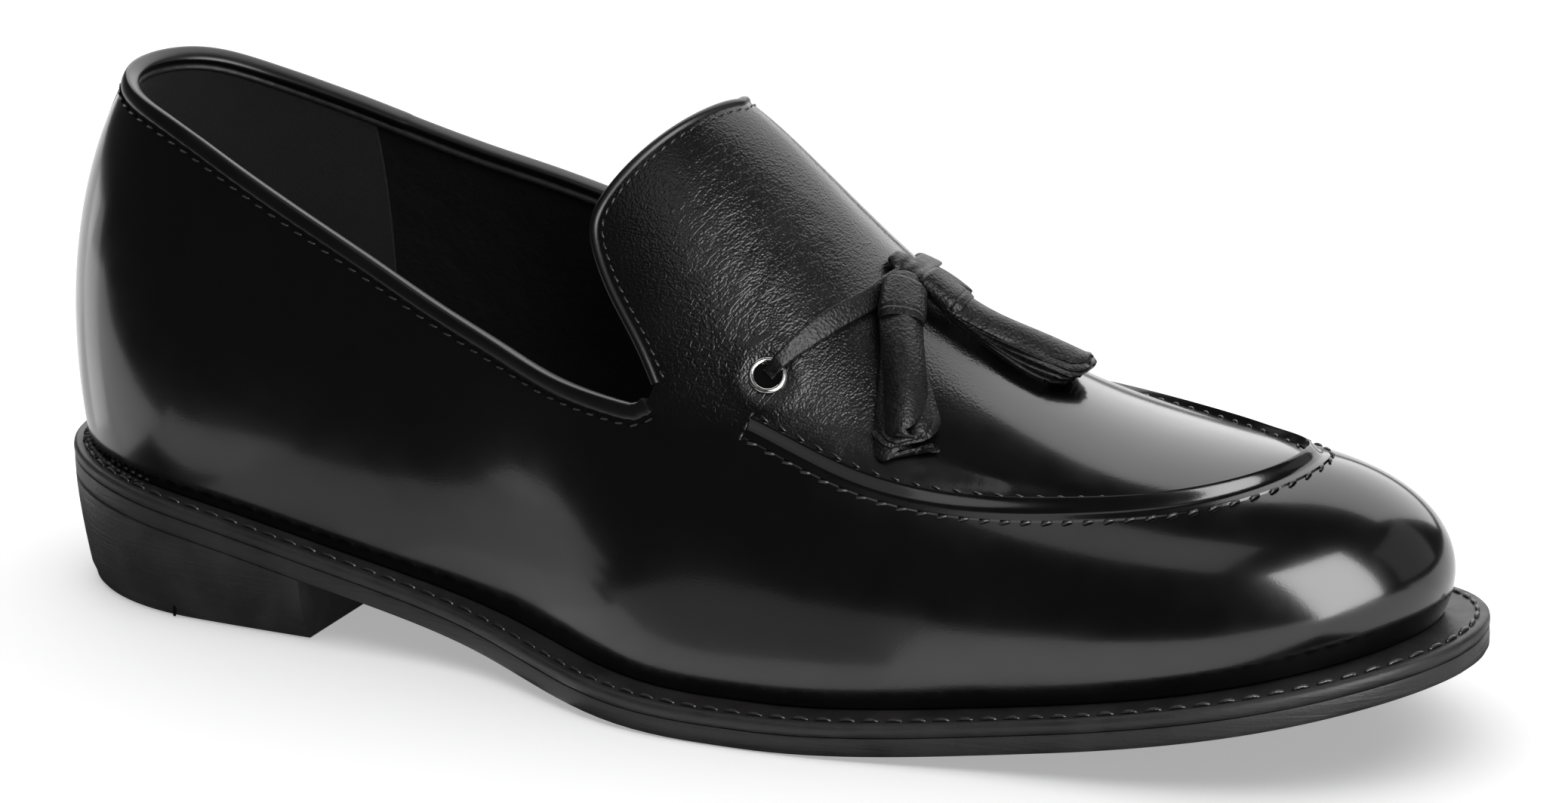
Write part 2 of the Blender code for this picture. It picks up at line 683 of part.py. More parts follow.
def make_knot(material, collection):
    """The knot of the lace over the middle of the vamp, from which both tassels hang."""
    bpy.ops.mesh.primitive_uv_sphere_add(segments=20, ring_count=12, radius=0.5)
    knot = bpy.context.object
    knot.name = knot.data.name = "lace_knot"
    for vertex in knot.data.vertices:
        wrap = 1 + 0.10 * np.cos(4 * np.arctan2(vertex.co.y, vertex.co.x))
        vertex.co.x *= KNOT_LENGTH * wrap
        vertex.co.y *= KNOT_WIDTH * wrap
        vertex.co.z *= KNOT_HEIGHT
    lift = 3 * SEAT_GAP + LACE_THICKNESS + KNOT_HEIGHT / 2
    knot.matrix_world = surface_matrix(KNOT_STATION, LATERAL, KNOT_SHARE, lift)
    knot.data.shade_smooth()
    knot.data.materials.append(material)
    for holder in knot.users_collection:
        holder.objects.unlink(knot)
    collection.objects.link(knot)


def leaf_sections(rows, side, leaf, length):
    """Sections of one leaf of a tassel: it starts in the cap, fans out and ends in a round tip."""
    along = np.linspace(TASSEL_CAP_SHARE * 0.6, length, LEAF_SECTIONS)
    points, normals = surface_run(rows, side, along)
    across = run_frames(points, normals)
    middle = (LEAF_COUNT - 1) / 2
    sections = []
    for k, (p, n, b) in enumerate(zip(points, normals, across)):
        free = k / (LEAF_SECTIONS - 1)
        tip = np.sqrt(max(0.16, 1 - max(0, (free - 0.75) / 0.25)**2))
        width = LEAF_WIDTH * (0.72 + 0.34 * free) * tip
        fan = (leaf - middle) * LEAF_FAN * free
        low = TASSEL_LIFT + TASSEL_CAP_HEIGHT * 0.14 * (1 - free) + leaf * LEAF_PITCH
        sections.append(np.array([
            p + b * (fan + u * width) + n * (low + h * LEAF_THICKNESS)
            for u, h in ((-0.5, 0), (0.5, 0), (0.5, 1), (-0.5, 1))
        ]))
    return sections


def cap_sections(rows, side):
    """Sections of a tassel's rolled cap, rounded at the top and drawn in where its leaves start."""
    along = np.array([0, 0.02, 0.07, 0.16, 0.26, TASSEL_CAP_SHARE])
    swell = (0.45, 0.72, 0.92, 1.0, 1.0, 0.94)
    points, normals = surface_run(rows, side, along)
    across = run_frames(points, normals)
    angles = 2 * np.pi * np.arange(CAP_SIDES) / CAP_SIDES
    centre = TASSEL_LIFT + TASSEL_CAP_HEIGHT / 2 + SEAT_GAP
    return [
        np.array([
            p + b * TASSEL_CAP_WIDTH / 2 * s * np.cos(a) + n * (centre + TASSEL_CAP_HEIGHT / 2 * s * np.sin(a))
            for a in angles
        ])
        for p, n, b, s in zip(points, normals, across, swell)
    ]


def make_tassel(name, rows, side, material, collection):
    """A leather tassel that lies on the vamp: a rolled cap with its leaves fused on."""
    cap = tube(name, cap_sections(rows, side), material, collection)
    for leaf in range(LEAF_COUNT):
        length = 1.0 - LEAF_STAGGER * (leaf % 3)
        part = tube(f"{name}_leaf_{leaf}", leaf_sections(rows, side, leaf, length), material, collection)
        union = cap.modifiers.new("fuse", "BOOLEAN")
        union.operation = "UNION"
        union.object = part
        bpy.context.view_layer.objects.active = cap
        bpy.ops.object.modifier_apply(modifier=union.name)
        bpy.data.objects.remove(part)
    cap.data.set_sharp_from_angle(angle=SHARP_ANGLE)
    return cap


def principled(name, colour, roughness, metallic=0.0):
    """A Principled material."""
    material = bpy.data.materials.new(name)
    material.use_nodes = True
    shader = material.node_tree.nodes["Principled BSDF"]
    shader.inputs["Base Color"].default_value = (*colour, 1)
    shader.inputs["Roughness"].default_value = roughness
    shader.inputs["Metallic"].default_value = metallic
    return material


def main():
    """Clears the scene and builds every piece."""
    for old in list(bpy.data.objects):
        bpy.data.objects.remove(old)
    collection = bpy.data.collections.new(OBJECT_NAME)
    bpy.context.scene.collection.children.link(collection)
    materials = {
        "calf": principled("box_calf", (0.012, 0.012, 0.013), 0.22),
        "grain": principled("grain_calf", (0.014, 0.014, 0.015), 0.38),
        "sole_leather": principled("sole_edge_leather", (0.030, 0.028, 0.028), 0.5),
        "insole": principled("insole_leather", (0.02, 0.02, 0.02), 0.6),
        "rubber": principled("top_lift_rubber", (0.02, 0.02, 0.02), 0.7),
        "metal": principled("eyelet_nickel", (0.72, 0.71, 0.69), 0.2, 1.0),
    }
    make_outsole(materials["sole_leather"], collection)
    make_welt(materials["sole_leather"], collection)
    make_heel(materials, collection)
    make_insole(materials["insole"], collection)
    make_upper(materials["calf"], collection)
    make_back_strip(materials["calf"], collection)
    make_apron_ridge(materials["calf"], collection)
    make_topline_binding(materials["calf"], collection)
    make_eyelets(materials["metal"], collection)
    make_lace(materials["grain"], collection)
    make_knot(materials["grain"], collection)
    make_tassel("tassel_lateral", LATERAL_TASSEL_ROWS, LATERAL, materials["grain"], collection)
    make_tassel("tassel_medial", MEDIAL_TASSEL_ROWS, MEDIAL, materials["grain"], collection)


main()
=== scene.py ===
"""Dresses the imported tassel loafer: polished calf, lining, seams, lace, tassels, welt, sole edge and heel."""
import logging
from collections.abc import Callable, Sequence
from dataclasses import dataclass, field
from enum import Enum
from typing import NamedTuple

import bpy
import numpy as np
from mathutils import Matrix, Vector


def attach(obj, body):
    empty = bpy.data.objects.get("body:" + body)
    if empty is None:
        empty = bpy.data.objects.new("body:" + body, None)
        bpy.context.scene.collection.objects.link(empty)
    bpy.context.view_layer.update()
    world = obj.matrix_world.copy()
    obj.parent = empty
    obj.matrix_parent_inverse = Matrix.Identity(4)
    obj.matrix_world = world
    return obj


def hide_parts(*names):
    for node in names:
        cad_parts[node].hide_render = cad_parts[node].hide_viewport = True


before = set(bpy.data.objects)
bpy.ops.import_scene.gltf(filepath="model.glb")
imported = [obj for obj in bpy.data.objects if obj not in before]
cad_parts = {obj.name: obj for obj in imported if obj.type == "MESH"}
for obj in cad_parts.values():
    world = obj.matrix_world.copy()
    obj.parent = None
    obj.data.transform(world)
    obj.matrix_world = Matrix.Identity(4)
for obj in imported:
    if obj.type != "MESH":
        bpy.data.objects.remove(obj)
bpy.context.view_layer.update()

MM = 0.001
LOG = logging.getLogger("tassel_loafer")

Piece = bpy.types.Object
Material = bpy.types.Material
Socket = bpy.types.NodeSocket
Array = np.ndarray
Place = Callable[[Array, Array], Array]
Profile = Callable[[Array, Array], tuple[Array, Array]]
Height = Callable[[Array], Array]


class Side(Enum):
    """A side of the shoe, with the sign of its Y."""

    LATERAL = -1
    MEDIAL = 1


class LastRow(NamedTuple):
    """Widths, welt reach, spine offset and spine height at a share of the length."""

    along: float
    lateral: float
    medial: float
    reach: float
    centre: float
    crown: float


class WallRow(NamedTuple):
    """How the wall of the last bulges at a share of the length."""

    along: float
    flare: float
    rise: float
    shoulder: float


class PairRow(NamedTuple):
    """A value for each side at a share of the length."""

    along: float
    lateral: float
    medial: float


class RunRow(NamedTuple):
    """A place on the last at a share of a run."""

    along: float
    station: float
    share: float


class LeafRow(NamedTuple):
    """A tassel's leaf: its tip's place across and up, width and arch in mm, its reach and slant in shares."""

    across: float
    up: float
    width: float
    reach: float
    arch: float
    slant: float


class Seam(NamedTuple):
    """A row of stitches: the piece's name, and each stitch's length, thickness, bow and pitch."""

    name: str
    length: float
    thickness: float
    bow: float
    pitch: float


class BeadRow(NamedTuple):
    """A row of the rand's knobbly stitches: its distance in from the welt's edge, its rise and its pitch."""

    inset: float
    rise: float
    pitch: float


class CreaseRow(NamedTuple):
    """A soft trough in the calf between two places, with its half width and depth in mm."""

    from_station: float
    from_share: float
    to_station: float
    to_share: float
    width: float
    depth: float


LAST_ROWS = (
    LastRow(0.00, 0.650, 0.650, 0.34, 0.00, 0.870),
    LastRow(0.12, 0.655, 0.655, 0.62, 0.00, 0.930),
    LastRow(0.25, 0.665, 0.615, 0.68, 0.00, 0.945),
    LastRow(0.38, 0.725, 0.575, 0.78, 0.02, 0.985),
    LastRow(0.50, 0.990, 0.670, 0.90, 0.04, 1.035),
    LastRow(0.56, 1.010, 0.770, 0.94, 0.04, 0.905),
    LastRow(0.62, 0.985, 0.860, 0.96, 0.04, 0.740),
    LastRow(0.73, 0.865, 0.945, 0.98, 0.03, 0.520),
    LastRow(0.84, 0.800, 0.900, 1.00, 0.02, 0.405),
    LastRow(0.93, 0.790, 0.800, 1.00, 0.00, 0.335),
    LastRow(1.00, 0.740, 0.730, 1.00, 0.00, 0.290),
)
WALL_ROWS = (
    WallRow(0.00, 1.10, 0.55, 0.60),
    WallRow(0.12, 1.00, 0.55, 0.74),
    WallRow(0.28, 0.85, 0.50, 0.90),
    WallRow(0.40, 0.70, 0.46, 0.84),
    WallRow(0.50, 0.55, 0.45, 0.58),
    WallRow(0.60, 0.70, 0.55, 0.57),
    WallRow(0.72, 0.85, 0.60, 0.62),
    WallRow(0.88, 0.90, 0.60, 0.62),
    WallRow(1.00, 1.40, 0.58, 0.62),
)
TOPLINE_ROWS = (
    PairRow(0.000, 1.055, 1.055),
    PairRow(0.045, 1.040, 1.050),
    PairRow(0.100, 1.025, 1.020),
    PairRow(0.167, 0.971, 1.000),
    PairRow(0.226, 0.911, 0.985),
    PairRow(0.280, 0.851, 0.980),
    PairRow(0.330, 0.794, 0.980),
    PairRow(0.384, 0.751, 0.965),
    PairRow(0.426, 0.727, 0.940),
    PairRow(0.465, 0.723, 0.900),
    PairRow(0.520, 0.723, 0.870),
)
RIDGE_ROWS = (
    PairRow(0.575, 0.415, 0.42),
    PairRow(0.610, 0.420, 0.42),
    PairRow(0.645, 0.425, 0.43),
    PairRow(0.730, 0.480, 0.56),
    PairRow(0.800, 0.555, 0.68),
    PairRow(0.872, 0.660, 0.77),
    PairRow(0.934, 0.805, 0.85),
    PairRow(0.975, 0.895, 0.905),
    PairRow(1.000, 0.925, 0.925),
)
TONGUE_ROWS = (
    PairRow(0.000, 0.00, 0.00),
    PairRow(0.067, 0.22, 0.22),
    PairRow(0.160, 0.58, 0.58),
    PairRow(0.244, 0.83, 0.83),
    PairRow(0.345, 0.98, 0.90),
    PairRow(0.462, 0.85, 0.63),
    PairRow(0.605, 0.56, 0.31),
    PairRow(0.815, 0.19, 0.06),
    PairRow(1.000, 0.00, 0.00),
)
LACE_ROWS = (
    RunRow(0.00, 0.581, 0.515),
    RunRow(0.30, 0.598, 0.620),
    RunRow(0.62, 0.615, 0.745),
    RunRow(0.85, 0.625, 0.860),
    RunRow(1.00, 0.630, 1.000),
)
FAR_STRAP_ROWS = (
    RunRow(0.00, 0.627, 0.990),
    RunRow(0.50, 0.634, 0.900),
    RunRow(1.00, 0.643, 0.780),
)
LATERAL_TASSEL_ROWS = (
    RunRow(0.00, 0.632, 0.910),
    RunRow(0.28, 0.644, 0.795),
    RunRow(0.55, 0.658, 0.690),
    RunRow(0.80, 0.668, 0.600),
    RunRow(1.00, 0.676, 0.530),
)
MEDIAL_TASSEL_ROWS = (
    RunRow(0.00, 0.635, 0.990),
    RunRow(0.30, 0.669, 0.985),
    RunRow(0.65, 0.708, 0.955),
    RunRow(1.00, 0.747, 0.910),
)
LATERAL_LEAVES = (
    LeafRow(-3.3, 0.8, 5.8, 1.03, 1.2, -0.035),
    LeafRow(4.9, 1.0, 4.0, 0.93, 0.8, -0.02),
    LeafRow(3.9, 1.7, 4.4, 0.96, 1.0, -0.02),
    LeafRow(2.6, 2.3, 5.0, 0.95, 1.4, -0.02),
    LeafRow(0.3, 2.8, 7.6, 0.91, 2.6, -0.07),
)
MEDIAL_LEAVES = (
    LeafRow(-6.4, 0.6, 6.6, 0.92, 0.6, 0.05),
    LeafRow(-5.3, 1.3, 7.2, 0.95, 0.8, 0.04),
    LeafRow(-4.0, 2.1, 7.6, 0.98, 1.0, 0.03),
    LeafRow(-2.4, 2.9, 8.0, 0.99, 1.4, 0.02),
    LeafRow(-0.2, 3.6, 8.6, 0.97, 2.2, 0.0),
)
BEAD_ROWS = (
    BeadRow(3.0 * MM, 0.7 * MM, 2.0 * MM),
    BeadRow(4.5 * MM, 1.5 * MM, 2.2 * MM),
)
CREASES = (
    CreaseRow(0.530, 0.62, 0.548, 0.84, 1.9, 0.06),
    CreaseRow(0.543, 0.58, 0.560, 0.86, 1.8, 0.08),
    CreaseRow(0.556, 0.56, 0.575, 0.88, 1.8, 0.09),
    CreaseRow(0.568, 0.56, 0.590, 0.84, 1.7, 0.07),
    CreaseRow(0.640, 0.47, 0.735, 0.53, 1.6, 0.08),
    CreaseRow(0.690, 0.52, 0.790, 0.58, 1.6, 0.07),
)


def column(rows: Sequence[NamedTuple], name: str) -> Array:
    """Returns one column of a table."""
    return np.array([getattr(row, name) for row in rows], float)


def spline(rows: Sequence[NamedTuple], name: str, along: Array) -> Array:
    """Reads a table's column on a natural cubic spline.

    Args:
        rows: The table, with its keys in the column named along.
        name: The column to read.
        along: Where to read it.

    Returns:
        One value for each place.
    """
    keys, values = column(rows, "along"), column(rows, name)
    step = np.diff(keys)
    count = len(keys)
    system, right = np.eye(count), np.zeros(count)
    for i in range(1, count - 1):
        system[i, i - 1:i + 2] = step[i - 1], 2 * (step[i - 1] + step[i]), step[i]
        after, before = (values[i + 1] - values[i]) / step[i], (values[i] - values[i - 1]) / step[i - 1]
        right[i] = 6 * (after - before)
    bend = np.linalg.solve(system, right)
    along = np.clip(along, keys[0], keys[-1])
    i = np.clip(np.searchsorted(keys, along) - 1, 0, count - 2)
    t, h = along - keys[i], step[i]
    slope = (values[i + 1] - values[i]) / h - h * (2 * bend[i] + bend[i + 1]) / 6
    return values[i] + slope * t + bend[i] / 2 * t**2 + (bend[i + 1] - bend[i]) / (6 * h) * t**3


def unit(vectors: Array) -> Array:
    """Returns the vectors at length one."""
    return vectors / np.maximum(np.linalg.norm(vectors, axis=-1, keepdims=True), 1e-12)


def squared(wave: Array, power: float) -> Array:
    """Returns a sine or cosine with its rounds made fuller by a power below one."""
    return np.sign(wave) * np.abs(wave)**power


def smooth_step(value: Array, low: float, high: float) -> Array:
    """Returns a soft step from nought at low to one at high."""
    t = np.clip((value - low) / (high - low), 0, 1)
    return t * t * (3 - 2 * t)


@dataclass(frozen=True)
class Run:
    """A line over the shoe: its points, and the outward normals of what it lies on."""

    points: Array
    normals: Array

    @property
    def tangents(self) -> Array:
        """Directions along the run."""
        return unit(np.gradient(self.points, axis=0))

    @property
    def across(self) -> Array:
        """Directions on the surface and square to the run."""
        return unit(np.cross(self.normals, self.tangents))

    @property
    def marks(self) -> Array:
        """Distance from the start to each point."""
        steps = np.linalg.norm(np.diff(self.points, axis=0), axis=1)
        return np.concatenate([[0], np.cumsum(steps)])

    def at(self, shares: Array) -> "Run":
        """Returns the run's places at shares of its length.

        Args:
            shares: Shares of the run's length.

        Returns:
            The run through those places.
        """
        marks = self.marks
        wanted = np.asarray(shares) * marks[-1]
        points = np.stack([np.interp(wanted, marks, self.points[:, k]) for k in range(3)], -1)
        normals = np.stack([np.interp(wanted, marks, self.normals[:, k]) for k in range(3)], -1)
        return Run(points, unit(normals))

    def shifted(self, across: Array | float, up: Array | float) -> "Run":
        """Returns the run moved over the surface and off it."""
        side, rise = np.atleast_1d(across)[:, None], np.atleast_1d(up)[:, None]
        return Run(self.points + self.across * side + self.normals * rise, self.normals)

    def spaced(self, pitch: float) -> "Run":
        """Returns places about one pitch apart, the first and last half a pitch in."""
        count = max(1, round(self.marks[-1] / pitch))
        return self.at((np.arange(count) + 0.5) / count)

    def reversed(self) -> "Run":
        """Returns the run from its other end."""
        return Run(self.points[::-1], self.normals[::-1])

    def joined(self, other: "Run") -> "Run":
        """Returns this run and then another that starts where it ends."""
        points = np.concatenate([self.points, other.points[1:]])
        return Run(points, np.concatenate([self.normals, other.normals[1:]]))


@dataclass
class Last:
    """The skin of ribs that every piece lies on, with the same sizes as the frame's solids."""

    length: float = 290 * MM
    ball_half_width: float = 44 * MM
    instep_height: float = 100 * MM
    heel_round: float = 38 * MM
    toe_round: float = 63 * MM
    round_power: float = 2.1
    heel_setback: float = 34 * MM
    toe_setback: float = 28 * MM
    wall_flare: float = 6 * MM
    heel_seat_height: float = 22.6 * MM
    heel_seat_drop: float = 6.4 * MM
    heel_length: float = 65 * MM
    forefoot_start: float = 161 * MM
    forefoot_end: float = 172 * MM
    toe_spring: float = 18 * MM
    spring_power: float = 1.7
    outsole_thickness: float = 3.8 * MM
    welt_thickness: float = 2.4 * MM
    welt_reach: float = 8.4 * MM
    seat_gap: float = 0.3 * MM
    collar_height: float = 72 * MM
    throat: float = 147 * MM
    throat_corner: float = 5 * MM
    tongue_setback: float = 18 * MM
    belt_share: float = 0.44
    seat_slope: float = 0.6
    plan_step: float = 0.4 * MM
    normal_step: float = 0.5 * MM
    normal_share: float = 0.004
    outline_samples: int = 400
    topline_samples: int = 161
    topline_limit: float = 0.8
    origin: Array = field(init=False)

    def __post_init__(self) -> None:
        """Finds the middle of the sole's outline, which is the frame's origin."""
        self.origin = np.zeros(3)
        stations = np.linspace(0, self.length, self.outline_samples)
        edge = np.concatenate([self.outline(stations, side, 1.0, 0.0) for side in Side])
        self.origin = np.append((edge.min(0) + edge.max(0)) / 2, 0)

    def half_width(self, x: Array, side: Side) -> Array:
        """Returns the half width of the feather edge on one side.

        Args:
            x: Stations along the feather.
            side: The side of the shoe.

        Returns:
            Half widths, one a station.
        """
        heel = np.clip(1 - x / self.heel_round, 0, 1)
        toe = np.clip(1 - (self.length - x) / self.toe_round, 0, 1)
        power = self.round_power
        ends = (1 - heel**power)**(1 / power) * (1 - toe**power)**(1 / power)
        return self.ball_half_width * spline(LAST_ROWS, side.name.lower(), x / self.length) * ends

    def feather(self, x: Array, side: Side) -> Array:
        """Returns points of the feather edge in plan, in the last's own frame."""
        return np.stack([x, side.value * self.half_width(x, side)], -1)

    def feather_normal(self, x: Array, side: Side) -> Array:
        """Returns outward normals of the feather edge in plan.

        Args:
            x: Stations along the feather.
            side: The side of the shoe.

        Returns:
            Unit vectors in plan.
        """
        step = self.plan_step
        low, high = np.clip(x - step, 0, self.length), np.clip(x + step, 0, self.length)
        run = unit(self.feather(high, side) - self.feather(low, side))
        normal = side.value * np.stack([-run[..., 1], run[..., 0]], -1)
        tip = np.stack([np.where(x < self.length / 2, -1.0, 1.0), 0 * x], -1)
        at_end = ((x < step) | (x > self.length - step))[..., None]
        return np.where(at_end, tip, normal)

    def outline(self, x: Array, side: Side, share: float, extra: Array | float) -> Array:
        """Returns one side of an outline in plan.

        Args:
            x: Stations along the feather.
            side: The side of the shoe.
            share: Share of the welt's reach beyond the feather.
            extra: Distance added outwards.

        Returns:
            Points in plan, in the frame.
        """
        reach = self.welt_reach * spline(LAST_ROWS, "reach", x / self.length) * share + extra
        flat = self.feather(x, side) + self.feather_normal(x, side) * np.asarray(reach)[..., None]
        return flat - self.origin[:2]

    def sole_height(self, x: Array) -> Array:
        """Returns the height of the outsole's underside.

        Args:
            x: Stations along the feather.

        Returns:
            Heights above the floor.
        """
        x = np.clip(x, 0, self.length)
        t = np.clip(x / self.forefoot_start, 0, 1)
        slope = -self.seat_slope * self.heel_seat_drop / self.heel_length * self.forefoot_start
        waist = self.heel_seat_height * (2 * t**3 - 3 * t**2 + 1) + slope * (t**3 - 2 * t**2 + t)
        rise = np.clip((x - self.forefoot_end) / (self.length - self.forefoot_end), 0, 1)
        return waist + self.toe_spring * rise**self.spring_power

    def welt_top(self, x: Array) -> Array:
        """Returns the height of the welt's upper face."""
        return self.sole_height(x) + self.outsole_thickness + self.seat_gap + self.welt_thickness

    def feather_height(self, x: Array) -> Array:
        """Returns the height of the upper's lower edge."""
        return self.welt_top(x) + self.seat_gap

    def spine_station(self, x: Array) -> Array:
        """Returns the station on the spine where the rib from the feather at x ends.

        Args:
            x: Stations along the feather.

        Returns:
            Stations on the spine.
        """
        heel, toe = self.heel_setback, self.toe_setback
        station = np.where(x < 2 * heel, heel + x**2 / (4 * heel), x)
        left = self.length - x
        return np.where(left < 2 * toe, self.length - toe - left**2 / (4 * toe), station)

    def crown(self, x: Array) -> Array:
        """Returns the height of the spine."""
        return self.feather_height(x) + self.instep_height * spline(LAST_ROWS, "crown", x / self.length)

    def point(self, x: Array, side: Side, w: Array) -> Array:
        """Returns points of the last in the frame.

        Args:
            x: Stations on the feather.
            side: The side of the shoe.
            w: Shares of the way up each rib to the spine.

        Returns:
            Points with their coordinates last.
        """
        x, w = np.broadcast_arrays(np.asarray(x, float), np.asarray(w, float))
        along = x / self.length
        foot = np.concatenate([self.feather(x, side), self.feather_height(x)[..., None]], -1)
        top_x = self.spine_station(x)
        centre = self.ball_half_width * spline(LAST_ROWS, "centre", top_x / self.length)
        top = np.stack([top_x, centre, self.crown(top_x)], -1)
        tilt = (self.crown(top_x + MM) - self.crown(top_x - MM)) / (2 * MM)
        inward = foot[..., :2] - top[..., :2]
        distance = np.linalg.norm(inward, axis=-1, keepdims=True)
        inward = inward / distance
        flare = self.wall_flare * spline(WALL_ROWS, "flare", along)[..., None]
        rise = spline(WALL_ROWS, "rise", along) * (top[..., 2] - foot[..., 2])
        shoulder = spline(WALL_ROWS, "shoulder", along)[..., None] * distance
        wall = foot + np.concatenate([self.feather_normal(x, side) * flare, rise[..., None]], -1)
        over = top + np.concatenate([inward, (tilt * inward[..., 0])[..., None]], -1) * shoulder
        w = w[..., None]
        skin = (1 - w)**3 * foot + 3 * w * (1 - w)**2 * wall + 3 * w**2 * (1 - w) * over + w**3 * top
        return skin - self.origin

    def normal(self, x: Array, side: Side, w: Array) -> Array:
        """Returns outward normals of the last at the same places as point.

        Args:
            x: Stations along the feather.
            side: The side of the shoe.
            w: Shares of the way up each rib.

        Returns:
            Unit vectors.
        """
        x, w = np.broadcast_arrays(np.asarray(x, float), np.asarray(w, float))
        step_x, step_w = self.normal_step, self.normal_share
        low_x, high_x = np.clip(x - step_x, 0, self.length), np.clip(x + step_x, 0, self.length)
        low_w, high_w = np.clip(w - step_w, 0, 0.985), np.clip(w + step_w, 0, 0.995)
        flat_w = np.minimum(w, 0.99)
        along = self.point(high_x, side, flat_w) - self.point(low_x, side, flat_w)
        up = self.point(x, side, high_w) - self.point(x, side, low_w)
        return unit(side.value * np.cross(up, along))

    def run(self, x: Array, side: Side, w: Array) -> Run:
        """Returns the run through the places that stations and rib shares give."""
        return Run(self.point(x, side, w), self.normal(x, side, w))

    def topline(self, x: Array, side: Side) -> Array:
        """Returns the rib shares at which the quarter ends, rounded up into the throat.

        Args:
            x: Stations along the feather.
            side: The side of the shoe.

        Returns:
            Rib shares, one a station.
        """
        stations, spread = np.unique(x, return_inverse=True)
        height = self.collar_height * spline(TOPLINE_ROWS, side.name.lower(), stations / self.length)
        into = np.clip((stations - self.throat + self.throat_corner) / self.throat_corner, 0, 1)
        height = height + self.throat_corner * (1 - np.sqrt(1 - into**2))
        shares = np.linspace(0, self.topline_limit, self.topline_samples)
        climb = self.point(stations[:, None], side, shares)[..., 2]
        climb = climb - self.feather_height(stations)[:, None]
        found = np.array([np.interp(h, row, shares) for h, row in zip(height, climb)])
        return found[spread.reshape(np.shape(x))]

    def tongue_edge(self, v: Array, side: Side) -> tuple[Array, Array]:
        """Returns the stations and rib shares of the tongue flap's edge, from the throat to the spine."""
        throat = self.topline(np.array([self.throat]), side)[0]
        setback = self.tongue_setback * spline(TONGUE_ROWS, side.name.lower(), v)
        return self.throat - setback, throat + (1 - throat) * v

    def ridge(self, x: Array, side: Side) -> Array:
        """Returns the rib shares of the apron ridge."""
        return spline(RIDGE_ROWS, side.name.lower(), x / self.length)

    def table_run(self, rows: Sequence[RunRow], side: Side, along: Array) -> Run:
        """Returns the run that a table of stations and rib shares gives."""
        stations = self.length * spline(rows, "station", along)
        return self.run(stations, side, np.clip(spline(rows, "share", along), 0, 1))


LAST = Last()


def deselect() -> None:
    """Leaves no object selected."""
    for other in bpy.context.selected_objects:
        other.select_set(False)


def select_only(piece: Piece) -> None:
    """Makes a piece the only selected and the active one."""
    deselect()
    piece.select_set(True)
    bpy.context.view_layer.objects.active = piece


def named(name: str) -> Piece:
    """Names the primitive that was just added and returns it."""
    piece = bpy.context.object
    piece.name = piece.data.name = name
    return piece


def coordinates(piece: Piece) -> Array:
    """Returns a mesh's vertices."""
    flat = np.empty(len(piece.data.vertices) * 3)
    piece.data.vertices.foreach_get("co", flat)
    return flat.reshape(-1, 3)


def move_to(piece: Piece, spots: Array) -> None:
    """Moves a mesh's vertices to these spots."""
    piece.data.vertices.foreach_set("co", np.ascontiguousarray(spots, float).ravel())
    piece.data.update()


def bent_grid(name: str, columns: int, rows: int, place: Place) -> Piece:
    """Adds a flat grid and bends it.

    Args:
        name: The new piece's name.
        columns: Faces along the first share.
        rows: Faces along the second share.
        place: Gives the spots of vertices from their two shares, each from nought to one.

    Returns:
        The bent piece, with the two shares as its UV map.
    """
    deselect()
    bpy.ops.mesh.primitive_grid_add(x_subdivisions=columns, y_subdivisions=rows, size=1)
    piece = named(name)
    flat = coordinates(piece)
    u, v = np.round(flat[:, 0] + 0.5, 9), np.round(flat[:, 1] + 0.5, 9)
    move_to(piece, place(u, v))
    return piece


def weld(piece: Piece, reach: float = 0.02 * MM, holes: bool = False) -> None:
    """Merges doubles, closes holes where asked and turns the faces out.

    Args:
        piece: The piece to weld.
        reach: How close two vertices must be to merge.
        holes: Whether open ends are filled.
    """
    select_only(piece)
    bpy.ops.object.mode_set(mode="EDIT")
    bpy.ops.mesh.select_all(action="SELECT")
    bpy.ops.mesh.remove_doubles(threshold=reach)
    if holes:
        bpy.ops.mesh.fill_holes(sides=0)
    bpy.ops.mesh.select_all(action="SELECT")
    bpy.ops.mesh.normals_make_consistent(inside=False)
    bpy.ops.object.mode_set(mode="OBJECT")


def joined(name: str, pieces: Sequence[Piece]) -> Piece:
    """Joins pieces into the first of them.

    Args:
        name: The joined piece's name.
        pieces: The pieces, of which the first takes in the rest.

    Returns:
        The joined piece.
    """
    deselect()
    for piece in pieces:
        piece.select_set(True)
    bpy.context.view_layer.objects.active = pieces[0]
    if len(pieces) > 1:
        bpy.ops.object.join()
    return named(name)


def face_out(piece: Piece, middle: Array) -> None:
    """Turns an open shell's faces away from a point inside it.

    Args:
        piece: The open shell.
        middle: A point inside the shell.
    """
    centre = Vector(middle)
    faces = piece.data.polygons
    outward = sum((face.center - centre).dot(face.normal) * face.area for face in faces)
    if outward < 0:
        piece.data.flip_normals()


def paint(piece: Piece, name: str, values: Array) -> None:
    """Keeps a number for each vertex, for the piece's material to read."""
    layer = piece.data.attributes.new(name, "FLOAT", "POINT")
    layer.data.foreach_set("value", np.ascontiguousarray(values, np.float32))


def applied(piece: Piece, kind: str, **settings: object) -> None:
    """Adds a modifier, sets it and applies it.

    Args:
        piece: The piece to change.
        kind: The modifier's kind.
        settings: The modifier's settings.
    """
    modifier = piece.modifiers.new(kind.lower(), kind)
    for key, value in settings.items():
        setattr(modifier, key, value)
    select_only(piece)
    bpy.ops.object.modifier_apply(modifier=modifier.name)


def smooth(piece: Piece, angle: float = 0.7) -> None:
    """Shades a piece smooth, with creases sharper than the angle kept."""
    select_only(piece)
    bpy.ops.object.shade_smooth_by_angle(angle=angle)


